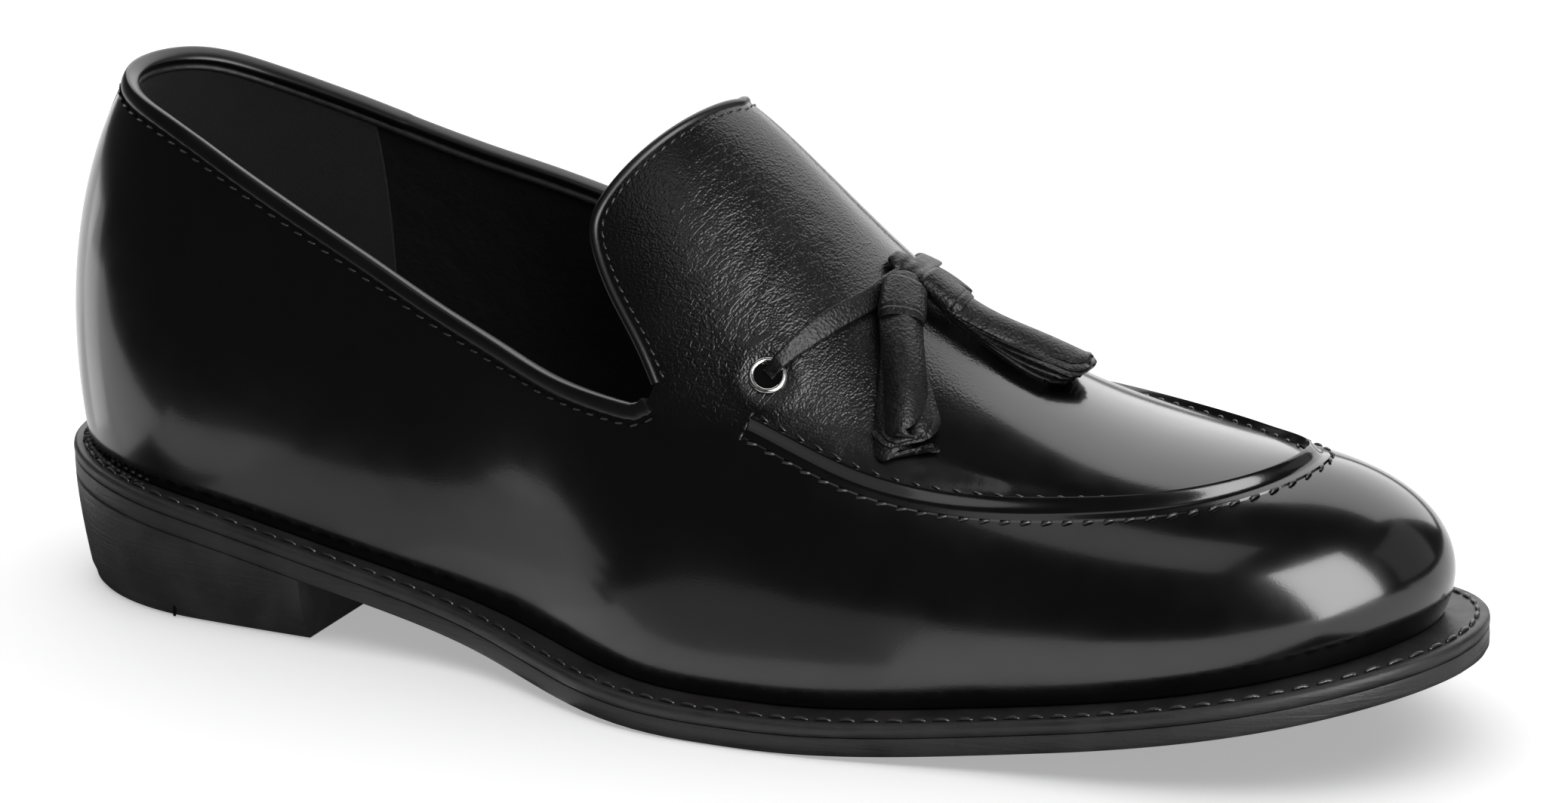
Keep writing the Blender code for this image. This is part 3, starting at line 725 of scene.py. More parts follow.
def sweep(name: str, run: Run, columns: int, rows: int, profile: Profile) -> Piece:
    """Skins a closed section along a run.

    Args:
        name: The new piece's name.
        run: The line that the section follows.
        columns: Sections along the run.
        rows: Faces round the section.
        profile: Gives distances across and up for shares along the run and round the section.

    Returns:
        The closed piece.
    """
    def place(u: Array, v: Array) -> Array:
        """Returns the spot of each vertex."""
        shares, spread = np.unique(u, return_inverse=True)
        line = run.at(shares)
        across, up = profile(u, np.mod(v, 1.0))
        side, normal = line.across[spread], line.normals[spread]
        return line.points[spread] + side * across[:, None] + normal * up[:, None]

    piece = bent_grid(name, columns, rows, place)
    weld(piece, holes=True)
    smooth(piece)
    return piece


def frames_on(run: Run, turn: Array | float = 0.0, tip: Array | float = 0.0) -> Array:
    """Returns a matrix for each place of a run: X along it, Y across and Z off the surface.

    Args:
        run: The places.
        turn: Angles by which X is turned on the surface.
        tip: Angles by which X is tipped off the surface.

    Returns:
        Matrices, one a place.
    """
    count = len(run.points)
    turn, tip = np.broadcast_to(turn, count)[:, None], np.broadcast_to(tip, count)[:, None]
    along = run.tangents * np.cos(turn) + run.across * np.sin(turn)
    along = along * np.cos(tip) + run.normals * np.sin(tip)
    side = unit(np.cross(run.normals, along))
    matrices = np.tile(np.eye(4), (count, 1, 1))
    matrices[:, :3, 0], matrices[:, :3, 1] = along, side
    matrices[:, :3, 2], matrices[:, :3, 3] = np.cross(along, side), run.points
    return matrices


def copies(name: str, template: Piece, matrices: Array) -> Piece:
    """Copies a small template to many places as one mesh, and removes the template.

    Args:
        name: The new piece's name.
        template: The mesh to repeat.
        matrices: One matrix a copy.

    Returns:
        The joined copies.
    """
    points = coordinates(template)
    faces = [tuple(face.vertices) for face in template.data.polygons]
    spots = np.einsum("nij,kj->nki", matrices[:, :3, :3], points) + matrices[:, None, :3, 3]
    mesh = bpy.data.meshes.new(name)
    many = [tuple(i + n * len(points) for i in face) for n in range(len(matrices)) for face in faces]
    mesh.from_pydata(spots.reshape(-1, 3).tolist(), [], many)
    piece = bpy.data.objects.new(name, mesh)
    bpy.context.scene.collection.objects.link(piece)
    mesh.shade_smooth()
    bpy.data.objects.remove(template)
    return piece


def thread_stitch(length: float, thickness: float, bow: float = 0.0, twist: float = 4.0,
                  strand: float = 0.2) -> Piece:
    """Adds one stitch: a fat short thread of two strands along X whose ends dive into the leather.

    Args:
        length: Its length.
        thickness: Its diameter.
        bow: How far its ends lie below its middle.
        twist: How fast its strands turn, in radians to a half length.
        strand: How far its two strands stand out, as a share of its radius.

    Returns:
        The stitch at the origin.
    """
    deselect()
    bpy.ops.mesh.primitive_uv_sphere_add(segments=8, ring_count=7, radius=0.5)
    stitch = named("stitch")
    points = coordinates(stitch)
    axis = points[:, 2] * 2
    full = np.sqrt(np.clip(1 - axis**2, 0, 1))
    blunt = np.clip(1 - np.abs(axis)**5, 0, 1)**0.5
    swell = np.where(full > 1e-6, blunt / np.maximum(full, 1e-6), 0)
    angle = np.arctan2(points[:, 1], points[:, 0]) + twist * axis
    swell = swell * (1 + strand * np.cos(2 * angle))
    side, up = points[:, 0] * swell * thickness, points[:, 1] * swell * thickness
    spots = np.stack([axis * length / 2, side, up], -1)
    spots[:, 2] -= bow * axis**2
    move_to(stitch, spots)
    return stitch


def sewn(seam: Seam, run: Run, turn: float = 0.0) -> Piece:
    """Sews a row of stitches along a run.

    Args:
        seam: The row's name and sizes.
        run: The line to sew along.
        turn: The angle by which each stitch is turned on the surface.

    Returns:
        The row as one piece.
    """
    stitch = thread_stitch(seam.length, seam.thickness, seam.bow)
    return copies(seam.name, stitch, frames_on(run.spaced(seam.pitch), turn))


class Shader:
    """A Principled material while its nodes are put together."""

    def __init__(self, name: str, colour: Sequence[float], roughness: float, **sockets: float) -> None:
        """Starts a material with even values on the shader's own sockets.

        Args:
            name: The material's name.
            colour: Its base colour.
            roughness: Its even roughness.
            sockets: Values for other sockets, with underscores for spaces.
        """
        self.material = bpy.data.materials.new(name)
        self.material.use_nodes = True
        self.tree = self.material.node_tree
        self.surface = self.tree.nodes["Principled BSDF"]
        self.surface.inputs["Base Color"].default_value = (*colour, 1)
        self.surface.inputs["Roughness"].default_value = roughness
        for key, value in sockets.items():
            socket = key.replace("_", " ").title().replace("Ior", "IOR")
            self.surface.inputs[socket].default_value = value

    def node(self, kind: str, **inputs: object) -> bpy.types.Node:
        """Adds a node and sets or links its inputs, named with underscores for spaces.

        Args:
            kind: The node's type.
            inputs: Values or outputs for its inputs.

        Returns:
            The node.
        """
        node = self.tree.nodes.new(kind)
        for key, value in inputs.items():
            self.put(node.inputs[key.replace("_", " ").title()], value)
        return node

    def put(self, socket: Socket, value: object) -> None:
        """Links an output to a socket, or sets the socket's value.

        Args:
            socket: The input to fill.
            value: An output to link, or a value to set.
        """
        if isinstance(value, Socket):
            self.tree.links.new(value, socket)
        else:
            socket.default_value = value

    def place(self, stretch: Sequence[float] = (1, 1, 1),
              turn: Sequence[float] | None = None) -> Socket:
        """Returns the object's own coordinates, turned and then stretched.

        Args:
            stretch: How much each axis is stretched.
            turn: Angles by which they are turned first.

        Returns:
            The coordinates to read.
        """
        where = self.node("ShaderNodeTexCoord").outputs["Object"]
        if turn:
            where = self.node("ShaderNodeMapping", Vector=where, Rotation=turn).outputs["Vector"]
        return self.node("ShaderNodeMapping", Vector=where, Scale=stretch).outputs["Vector"]

    def painted(self, name: str) -> Socket:
        """Returns a number that the mesh keeps for each vertex, nought where it has none."""
        node = self.node("ShaderNodeAttribute")
        node.attribute_name = name
        return node.outputs["Fac"]

    def noise(self, size: float, detail: float = 2.0, roughness: float = 0.5,
              where: Socket | None = None) -> Socket:
        """Returns a soft noise whose lumps have about this size in metres.

        Args:
            size: How wide a lump is, in metres.
            detail: How many finer layers it has.
            roughness: How strong the finer layers are.
            where: Coordinates to read instead of the object's own.

        Returns:
            The noise's output.
        """
        vector = where or self.place()
        node = self.node("ShaderNodeTexNoise", Vector=vector, Scale=1 / size, Detail=detail,
                         Roughness=roughness)
        return node.outputs["Fac"]

    def cells(self, size: float, feature: str = "F1") -> Socket:
        """Returns the distance field of cells of about this size in metres."""
        node = self.node("ShaderNodeTexVoronoi", Vector=self.place(), Scale=1 / size)
        node.feature = feature
        return node.outputs["Distance"]

    def span(self, value: Socket, low: float, high: float, to_low: float = 0.0,
             to_high: float = 1.0) -> Socket:
        """Returns a value's range from low to high spread over another range.

        Args:
            value: The value to spread.
            low: Where its range starts.
            high: Where its range ends.
            to_low: What the start becomes.
            to_high: What the end becomes.

        Returns:
            The spread value.
        """
        node = self.node("ShaderNodeMapRange", Value=value)
        for key, number in (("From Min", low), ("From Max", high), ("To Min", to_low), ("To Max", to_high)):
            node.inputs[key].default_value = number
        return node.outputs["Result"]

    def math(self, operation: str, first: object, second: object) -> Socket:
        """Returns the result of a sum on two values.

        Args:
            operation: The sum's name.
            first: The first value or output.
            second: The second value or output.

        Returns:
            The result.
        """
        node = self.node("ShaderNodeMath")
        node.operation = operation
        self.put(node.inputs[0], first)
        self.put(node.inputs[1], second)
        return node.outputs[0]

    def blend(self, share: Socket, first: Sequence[float], second: Sequence[float]) -> None:
        """Colours the surface between two colours.

        Args:
            share: How far from the first colour to the second.
            first: The first colour.
            second: The second colour.
        """
        node = self.node("ShaderNodeMix")
        node.data_type = "RGBA"
        self.put(node.inputs["Factor"], share)
        colours = [socket for socket in node.inputs if socket.type == "RGBA"]
        colours[0].default_value, colours[1].default_value = (*first, 1), (*second, 1)
        result = next(socket for socket in node.outputs if socket.type == "RGBA")
        self.put(self.surface.inputs["Base Color"], result)

    def raise_by(self, height: Socket, depth: float,
                 under: Socket | None = None) -> Socket:
        """Returns normals bent by a height whose full range is this deep in metres.

        Args:
            height: The height to read.
            depth: The full range's depth in metres.
            under: Normals that it bends further.

        Returns:
            The bent normals.
        """
        node = self.node("ShaderNodeBump", Height=height, Strength=1.0, Distance=depth)
        if under:
            self.put(node.inputs["Normal"], under)
        return node.outputs["Normal"]

    def done(self, normal: Socket | None = None,
             roughness: Socket | None = None) -> Material:
        """Links normals and roughness, and returns the material.

        Args:
            normal: Normals that vary over the surface.
            roughness: Roughness that varies over the surface.

        Returns:
            The finished material.
        """
        if normal:
            self.put(self.surface.inputs["Normal"], normal)
            self.put(self.surface.inputs["Coat Normal"], normal)
        if roughness:
            self.put(self.surface.inputs["Roughness"], roughness)
        return self.material


NOISE_RANGE = (0.3, 0.7)


@dataclass(frozen=True)
class PolishedCalf:
    """Box calf, waxed and polished to a mirror, with a creased grain where the mesh is painted with grain."""

    name: str = "polished_calf"
    slot: str = "calf"
    colour: tuple[float, float, float] = (0.0022, 0.0022, 0.0026)
    roughness: float = 0.20
    rougher: float = 0.31
    coat: float = 0.55
    coat_roughness: float = 0.10
    pore: float = 0.42 * MM
    pore_depth: float = 0.0065 * MM
    swell: float = 16 * MM
    swell_depth: float = 0.10 * MM
    pebble: float = 0.44 * MM
    pebble_depth: float = 0.085 * MM
    wrinkle: float = 1.3 * MM
    wrinkle_depth: float = 0.045 * MM
    wrinkle_edge: float = 0.07
    wrinkle_along: tuple[float, float, float] = (0.40, 0.80, 0.45)
    wrinkle_stretch: float = 0.26
    grained_coat: float = 0.12
    cloud: float = 9 * MM
    cloud_change: tuple[float, float] = (-0.03, 0.04)

    def build(self) -> Material:
        """Returns the material.

        Returns:
            The finished material.
        """
        shader = Shader(self.name, self.colour, self.roughness, coat_weight=self.coat,
                        coat_roughness=self.coat_roughness)
        grain = shader.painted("grain")
        turn = Vector(self.wrinkle_along).rotation_difference(Vector((1, 0, 0))).to_euler()
        lines = shader.place((self.wrinkle_stretch, 1, 1), tuple(turn))
        folds = shader.math("SUBTRACT", shader.noise(self.wrinkle, 1.5, 0.5, lines), 0.5)
        sharp = shader.span(shader.math("ABSOLUTE", folds, 0), 0, self.wrinkle_edge, 1, 0)
        line = shader.math("MULTIPLY", sharp, shader.painted("wrinkle"))
        wrinkles = shader.math("SUBTRACT", 1.0, line)
        pebbles = shader.math("MULTIPLY", shader.cells(self.pebble, "SMOOTH_F1"), grain)
        normal = shader.raise_by(shader.noise(self.swell, 1.0), self.swell_depth)
        normal = shader.raise_by(shader.noise(self.pore, 1.5), self.pore_depth, normal)
        normal = shader.raise_by(wrinkles, self.wrinkle_depth, normal)
        normal = shader.raise_by(pebbles, self.pebble_depth, normal)
        haze = shader.math("ADD", shader.span(grain, 0, 1, self.roughness, self.rougher),
                           shader.span(shader.noise(self.cloud, 3.0), *NOISE_RANGE, *self.cloud_change))
        coat = shader.span(grain, 0, 1, self.coat, self.grained_coat)
        shader.put(shader.surface.inputs["Coat Weight"], coat)
        return shader.done(normal, haze)


@dataclass(frozen=True)
class DulledCalf(PolishedCalf):
    """The same leather where it is rolled or folded over an edge and rubbed dull."""

    name: str = "dulled_calf"
    roughness: float = 0.36
    rougher: float = 0.40
    coat: float = 0.10
    coat_roughness: float = 0.25
    pore_depth: float = 0.012 * MM


@dataclass(frozen=True)
class GrainedLeather:
    """Softer pebbled leather of the lace and the tassels, with raw cut edges."""

    name: str = "grained_leather"
    slot: str = "lace_leather"
    colour: tuple[float, float, float] = (0.0045, 0.0045, 0.0052)
    roughness: float = 0.38
    pebble: float = 0.52 * MM
    pebble_depth: float = 0.13 * MM
    wrinkle: float = 2.4 * MM
    wrinkle_depth: float = 0.07 * MM
    cloud: float = 1.5 * MM
    smoother: float = 0.06
    rougher: float = 0.10
    specular: float = 0.36

    def build(self) -> Material:
        """Returns the material.

        Returns:
            The finished material.
        """
        shader = Shader(self.name, self.colour, self.roughness, specular_ior_level=self.specular)
        pebble = shader.cells(self.pebble, "SMOOTH_F1")
        wrinkle = shader.noise(self.wrinkle, 3.0, 0.6)
        normal = shader.raise_by(wrinkle, self.wrinkle_depth)
        normal = shader.raise_by(pebble, self.pebble_depth, normal)
        haze = shader.span(shader.noise(self.cloud), *NOISE_RANGE, self.roughness - self.smoother,
                           self.roughness + self.rougher)
        return shader.done(normal, haze)


@dataclass(frozen=True)
class SoleEdge:
    """Blacked and burnished leather edge, with fine lines of its layers, pits and dull patches."""

    name: str = "sole_edge"
    slot: str = "sole_leather"
    colour: tuple[float, float, float] = (0.021, 0.019, 0.0195)
    dusty: tuple[float, float, float] = (0.034, 0.031, 0.031)
    roughness: float = 0.46
    specular: float = 0.4
    coat: float = 0.06
    coat_roughness: float = 0.25
    layer: float = 1.0 * MM
    layer_stretch: tuple[float, float, float] = (0.05, 0.05, 1.4)
    layer_depth: float = 0.10 * MM
    pit: float = 0.7 * MM
    pit_depth: float = 0.05 * MM
    patch: float = 11 * MM
    dusty_range: tuple[float, float] = (0.35, 0.75)
    smoother: float = 0.08
    rougher: float = 0.14

    def build(self) -> Material:
        """Returns the material.

        Returns:
            The finished material.
        """
        shader = Shader(self.name, self.colour, self.roughness, specular_ior_level=self.specular,
                        coat_weight=self.coat, coat_roughness=self.coat_roughness)
        layers = shader.noise(self.layer, 3.0, 0.6, shader.place(self.layer_stretch))
        pits = shader.noise(self.pit, 2.0)
        patches = shader.noise(self.patch, 4.0, 0.65)
        shader.blend(shader.span(patches, *self.dusty_range), self.colour, self.dusty)
        normal = shader.raise_by(layers, self.layer_depth)
        normal = shader.raise_by(pits, self.pit_depth, normal)
        haze = shader.span(patches, *NOISE_RANGE, self.roughness - self.smoother,
                           self.roughness + self.rougher)
        return shader.done(normal, haze)


@dataclass(frozen=True)
class MattLining:
    """Smooth black lining leather, dull and slightly rumpled."""

    name: str = "matt_lining"
    slot: str = "insole_leather"
    colour: tuple[float, float, float] = (0.007, 0.007, 0.008)
    roughness: float = 0.62
    rumple: float = 7 * MM
    rumple_depth: float = 0.5 * MM
    grain: float = 0.9 * MM
    grain_depth: float = 0.04 * MM

    def build(self) -> Material:
        """Returns the material.

        Returns:
            The finished material.
        """
        shader = Shader(self.name, self.colour, self.roughness)
        normal = shader.raise_by(shader.noise(self.rumple, 2.0), self.rumple_depth)
        normal = shader.raise_by(shader.cells(self.grain), self.grain_depth, normal)
        return shader.done(normal)


@dataclass(frozen=True)
class PaintedHoleShade:
    """Painted shade: a flat near-black that stands in for the unlit inside of a hole, slit or stitch groove."""

    name: str = "dark_hollow"
    slot: str = "insole_leather"
    colour: tuple[float, float, float] = (0.0015, 0.0015, 0.0015)
    roughness: float = 1.0
    specular: float = 0.1
    lump: float = 0.6 * MM
    lump_depth: float = 0.05 * MM

    def build(self) -> Material:
        """Returns the material."""
        shader = Shader(self.name, self.colour, self.roughness, specular_ior_level=self.specular)
        return shader.done(shader.raise_by(shader.noise(self.lump), self.lump_depth))


@dataclass(frozen=True)
class WornLining(MattLining):
    """The same lining where it is folded over and rubbed grey."""

    name: str = "worn_lining"
    colour: tuple[float, float, float] = (0.018, 0.018, 0.019)
    roughness: float = 0.55


@dataclass(frozen=True)
class NappedSuede:
    """Black suede of the heel grip, with a short brushed nap and small lint."""

    name: str = "napped_suede"
    slot: str = "insole_leather"
    colour: tuple[float, float, float] = (0.0035, 0.0035, 0.004)
    worn: tuple[float, float, float] = (0.016, 0.016, 0.017)
    roughness: float = 0.95
    sheen: float = 0.15
    sheen_roughness: float = 0.5
    nap: float = 0.6 * MM
    nap_depth: float = 0.15 * MM
    cloud: float = 9 * MM
    worn_range: tuple[float, float] = (0.18, 0.42)

    def build(self) -> Material:
        """Returns the material.

        Returns:
            The finished material.
        """
        shader = Shader(self.name, self.colour, self.roughness, sheen_weight=self.sheen,
                        sheen_roughness=self.sheen_roughness)
        nap = shader.noise(self.nap, 3.0, 0.7)
        clouds = shader.noise(self.cloud, 3.0, 0.6)
        wear = shader.span(shader.math("MULTIPLY", nap, clouds), *self.worn_range)
        shader.blend(wear, self.colour, self.worn)
        return shader.done(shader.raise_by(nap, self.nap_depth))


@dataclass(frozen=True)
class WaxedThread:
    """Black waxed thread, laid in two twisted strands."""

    name: str = "waxed_thread"
    slot: str = "lace_leather"
    colour: tuple[float, float, float] = (0.032, 0.032, 0.034)
    roughness: float = 0.27
    specular: float = 0.7
    fibre: float = 0.35 * MM
    fibre_depth: float = 0.10 * MM

    def build(self) -> Material:
        """Returns the material."""
        shader = Shader(self.name, self.colour, self.roughness, specular_ior_level=self.specular)
        return shader.done(shader.raise_by(shader.noise(self.fibre, 2.0), self.fibre_depth))


@dataclass(frozen=True)
class NickelPlate:
    """Bright nickel of the eyelets, very slightly brushed."""

    name: str = "nickel_plate"
    slot: str = "nickel"
    colour: tuple[float, float, float] = (0.72, 0.71, 0.69)
    roughness: float = 0.14
    brush: float = 0.8 * MM
    smoother: float = 0.04
    rougher: float = 0.08

    def build(self) -> Material:
        """Returns the material.

        Returns:
            The finished material.
        """
        shader = Shader(self.name, self.colour, self.roughness, metallic=1.0)
        haze = shader.span(shader.noise(self.brush), *NOISE_RANGE, self.roughness - self.smoother,
                           self.roughness + self.rougher)
        return shader.done(None, haze)


Finish = (PolishedCalf | GrainedLeather | SoleEdge | MattLining | PaintedHoleShade | NappedSuede | WaxedThread
          | NickelPlate)


class Wardrobe:
    """Builds each finish once and dresses pieces in it."""

    def __init__(self) -> None:
        """Starts with no finish built."""
        self.built: dict[str, Material] = {}

    def material(self, finish: Finish) -> Material:
        """Returns the finish's material, built on first use."""
        if finish.name not in self.built:
            self.built[finish.name] = finish.build()
        return self.built[finish.name]

    def dress(self, piece: Piece, finish: Finish, *stands_for: str) -> Piece:
        """Gives a finished piece its material, body and the nodes it stands for.

        Args:
            piece: The finished piece.
            finish: What it is made of.
            stands_for: CAD nodes that it replaces.

        Returns:
            The same piece.
        """
        piece.data.materials.clear()
        piece.data.materials.append(self.material(finish))
        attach(piece, "root")
        if stands_for:
            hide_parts(*stands_for)
        LOG.info("%s: %d faces of %s", piece.name, len(piece.data.polygons), finish.name)
        return piece


@dataclass
class Upper:
    """Quarters, vamp and tongue flap in one wall, with lining, grip, strip and turned edges."""

    wardrobe: Wardrobe
    thickness: float = 2.0 * MM
    quarter_columns: int = 120
    vamp_columns: int = 140
    wall_rows: int = 36
    crown_rows: int = 72
    tongue_columns: int = 24
    vamp_crowding: float = 1.35
    bead_out: float = 0.9 * MM
    bead_in: float = 0.35 * MM
    bead_drop: float = 2.4 * MM
    bead_rise: float = 0.9 * MM
    lap_share: float = 0.708
    piping_radius: float = 0.75 * MM
    fold_radius: float = 1.05 * MM
    strip_half: float = 6.5 * MM
    strip_thickness: float = 0.9 * MM
    strip_foot: float = 0.03
    strip_narrowing: float = 0.25
    strip_sunk: float = 0.1 * MM
    strip_bevel: float = 0.35 * MM
    strip_columns: int = 16
    strip_rows: int = 40
    grip_front: float = 54 * MM
    grip_thickness: float = 0.7 * MM
    grip_gap: float = 0.15 * MM
    grip_foot: float = 0.06
    grip_reach: float = 0.90
    grip_crowding: float = 1.5
    grip_columns: int = 90
    grip_rows: int = 28
    crease_steps: int = 12
    crease_lip: float = 0.6
    crease_lip_at: float = 1.8
    seat_depth: float = 0.5 * MM
    seat_lip: float = 0.30 * MM
    seat_lip_at: float = 1.9
    seat_lip_spread: float = 0.5
    grain_height: tuple[float, float] = (0.050, 0.066)
    grain_back: tuple[float, float] = (-26 * MM, -12 * MM)
    grain_front: tuple[float, float] = (32 * MM, 70 * MM)
    grain_far: tuple[float, float] = (-2 * MM, 12 * MM)
    grain_far_loss: float = 0.85
    lace_ahead: float = 14 * MM
    lace_spread: float = 17 * MM
    lace_side: tuple[float, float] = (2 * MM, 10 * MM)
    wrinkle_least: float = 0.25
    throat_gap: float = 1.2 * MM
    edge_columns: int = 420
    bead_rows: int = 18
    bead_power: float = 0.8
    gather: float = 0.10
    gather_rate: float = 900
    gather_span: tuple[float, float] = (0.475, 0.495)
    lap_swell: float = 0.13
    lap_start: tuple[float, float] = (0.50, 0.56)
    lap_end: float = 0.006
    shade_slot_length: float = 3.0 * MM
    shade_slot_width: float = 0.75 * MM
    slot_lift: float = 0.02 * MM
    collar_seam: Seam = Seam("collar_stitches", 2.1 * MM, 0.45 * MM, 0.15 * MM, 3.4 * MM)
    collar_seam_gap: float = 0.9 * MM
    collar_seam_lift: float = 0.22 * MM
    collar_seam_turn: float = 0.12
    piping_rows: int = 12
    piping_in: float = 1.9 * MM
    piping_sunk: float = 0.35 * MM
    piping_waver: float = 0.06
    piping_tall: float = 1.1
    fold_columns: int = 320
    fold_rows: int = 14
    fold_in: float = 0.5 * MM
    fold_lift: float = 0.55 * MM
    tongue_seam: Seam = Seam("tongue_stitches", 1.6 * MM, 0.42 * MM, 0.2 * MM, 2.3 * MM)
    tongue_seam_in: float = 2.4 * MM
    tongue_seam_lift: float = 0.06 * MM
    tongue_seam_turn: float = 0.15

    def build(self) -> None:
        """Builds every piece of the upper."""
        self.wall()
        self.heel_grip()
        self.binding()
        self.turned_edge()
        self.back_strip()

    def quarter(self, side: Side) -> Place:
        """Returns the place function of the wall behind the throat.

        Args:
            side: The side of the shoe.

        Returns:
            The place function.
        """
        def place(u: Array, v: Array) -> Array:
            """Returns spots from the share forward and the share up to the topline."""
            x = LAST.throat * (1 - np.cos(np.pi * u)) / 2
            return LAST.point(x, side, LAST.topline(x, side) * v)
        return place

    def vamp(self, side: Side) -> Place:
        """Returns the place function of the wall and apron ahead of the throat.

        Args:
            side: The side of the shoe.

        Returns:
            The place function.
        """
        throat = LAST.topline(np.array([LAST.throat]), side)[0]
        fold = self.wall_rows / (self.wall_rows + self.crown_rows)

        def place(u: Array, v: Array) -> Array:
            """Returns spots from the share forward and the share up to the spine."""
            x = LAST.length - (LAST.length - LAST.throat) * (1 - u)**self.vamp_crowding
            belt = throat + (LAST.belt_share - throat) * (x - LAST.throat) / (LAST.length - LAST.throat)
            above = belt + (1 - belt) * (v - fold) / (1 - fold)
            w = np.where(v <= fold, belt * v / fold, above)
            return LAST.point(x, side, w)
        return place

    def tongue(self, side: Side) -> Place:
        """Returns the place function of the flap behind the throat.

        Args:
            side: The side of the shoe.

        Returns:
            The place function.
        """
        def place(u: Array, v: Array) -> Array:
            """Returns spots from the share back to the flap's edge and the share up to the spine."""
            edge, w = LAST.tongue_edge(v, side)
            return LAST.point(LAST.throat - (LAST.throat - edge) * u, side, w)
        return place

    def wall(self) -> None:
        """Builds the leather and lining as one wall, open at the collar and underneath."""
        rows = self.wall_rows + self.crown_rows
        patches = []
        for side in Side:
            patches.append(bent_grid("quarter", self.quarter_columns, self.wall_rows, self.quarter(side)))
            patches.append(bent_grid("vamp", self.vamp_columns, rows, self.vamp(side)))
            patches.append(bent_grid("tongue", self.tongue_columns, self.crown_rows, self.tongue(side)))
        wall = joined("upper_wall", patches)
        weld(wall)
        face_out(wall, (0, 0, LAST.instep_height / 3))
        self.crease(wall)
        wall.data.materials.clear()
        wall.data.materials.append(self.wardrobe.material(PolishedCalf()))
        wall.data.materials.append(self.wardrobe.material(MattLining()))
        applied(wall, "SOLIDIFY", thickness=self.thickness, offset=-1, material_offset=1,
                material_offset_rim=0)
        smooth(wall, 1.0)
        self.paint_grain(wall)
        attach(wall, "root")
        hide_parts("upper")
        LOG.info("%s: %d faces", wall.name, len(wall.data.polygons))

    def crease(self, wall: Piece) -> None:
        """Presses the soft creases of the tongue and the apron into the leather, and seats the eyelets.

        Args:
            wall: The wall's mesh.
        """
        spots = coordinates(wall)
        normals = np.empty(len(spots) * 3)
        wall.data.vertex_normals.foreach_get("vector", normals)
        normals = normals.reshape(-1, 3)
        rise = np.zeros(len(spots))
        for row in CREASES:
            stations = np.linspace(row.from_station, row.to_station, self.crease_steps) * LAST.length
            shares = np.linspace(row.from_share, row.to_share, self.crease_steps)
            line = LAST.point(stations, Side.LATERAL, shares)
            away = np.linalg.norm(spots[:, None] - line[None], axis=2).min(1) / (row.width * MM)
            lip = self.crease_lip * np.exp(-(away - self.crease_lip_at)**2)
            rise += row.depth * MM * (lip - np.exp(-away**2))
        for side in Side:
            middle = LAST.point(np.array([EYELET.station * LAST.length]), side, np.array([EYELET.share]))
            away = np.linalg.norm(spots - middle, axis=1) / EYELET.radius
            lip = self.seat_lip * np.exp(-((away - self.seat_lip_at) / self.seat_lip_spread)**2)
            rise += lip - self.seat_depth * np.exp(-away**2)
        move_to(wall, spots + normals * rise[:, None])

    def paint_grain(self, wall: Piece) -> None:
        """Paints where the grain and the wrinkles show: over the tongue and round the lace.

        Args:
            wall: The wall's mesh.
        """
        x, y, z = coordinates(wall).T
        throat = LAST.throat - LAST.origin[0]
        ahead = x - throat
        high = smooth_step(z, *self.grain_height)
        back = smooth_step(ahead, *self.grain_back)
        front = 1 - smooth_step(ahead, *self.grain_front)
        facing = 1 - self.grain_far_loss * smooth_step(y, *self.grain_far)
        grain = high * back * front * facing
        near_lace = np.exp(-((ahead - self.lace_ahead) / self.lace_spread)**2)
        near_lace = near_lace * smooth_step(-y, *self.lace_side)
        paint(wall, "grain", grain)
        paint(wall, "wrinkle", grain * (self.wrinkle_least + (1 - self.wrinkle_least) * near_lace))

    def heel_grip(self) -> None:
        """Builds the suede grip that lines the back of the quarters."""
        def place(u: Array, v: Array) -> Array:
            """Returns spots from one front edge round the heel to the other, and up the wall.

            Args:
                u: First shares.
                v: Second shares.

            Returns:
                Spots in the frame.
            """
            x = self.grip_front * np.abs(2 * u - 1)**self.grip_crowding
            spots = np.empty((len(u), 3))
            for side in Side:
                mine = (u < 0.5) if side is Side.LATERAL else (u >= 0.5)
                if mine.any():
                    w = LAST.topline(x[mine], side) * (self.grip_foot + self.grip_reach * v[mine])
                    inset = self.thickness + self.grip_gap
                    spots[mine] = LAST.point(x[mine], side, w) - LAST.normal(x[mine], side, w) * inset
            return spots

        grip = bent_grid("heel_grip", self.grip_columns, self.grip_rows, place)
        weld(grip)
        face_out(grip, (-110 * MM, 0, 50 * MM))
        applied(grip, "SOLIDIFY", thickness=self.grip_thickness, offset=-1)
        smooth(grip)
        self.wardrobe.dress(grip, NappedSuede())

    def topline_run(self, count: int = 240) -> Run:
        """Returns the run of the topline from the lateral throat round the heel to the medial one.

        Args:
            count: How many points each half has.

        Returns:
            The run.
        """
        crowded = 1 - np.cos(np.pi * np.linspace(0, 1, count))
        stations = (LAST.throat - self.throat_gap) * crowded / 2
        lateral = LAST.run(stations, Side.LATERAL, LAST.topline(stations, Side.LATERAL))
        medial = LAST.run(stations, Side.MEDIAL, LAST.topline(stations, Side.MEDIAL))
        return lateral.reversed().joined(medial)

    def binding(self) -> None:
        """Builds the rolled bead of the collar, the stitches under it and near-black slots under them that
        paint the shade of their groove.
        """
        run = self.topline_run()
        down = 1.0 if (run.across[0] @ np.array([0, 0, 1])) < 0 else -1.0

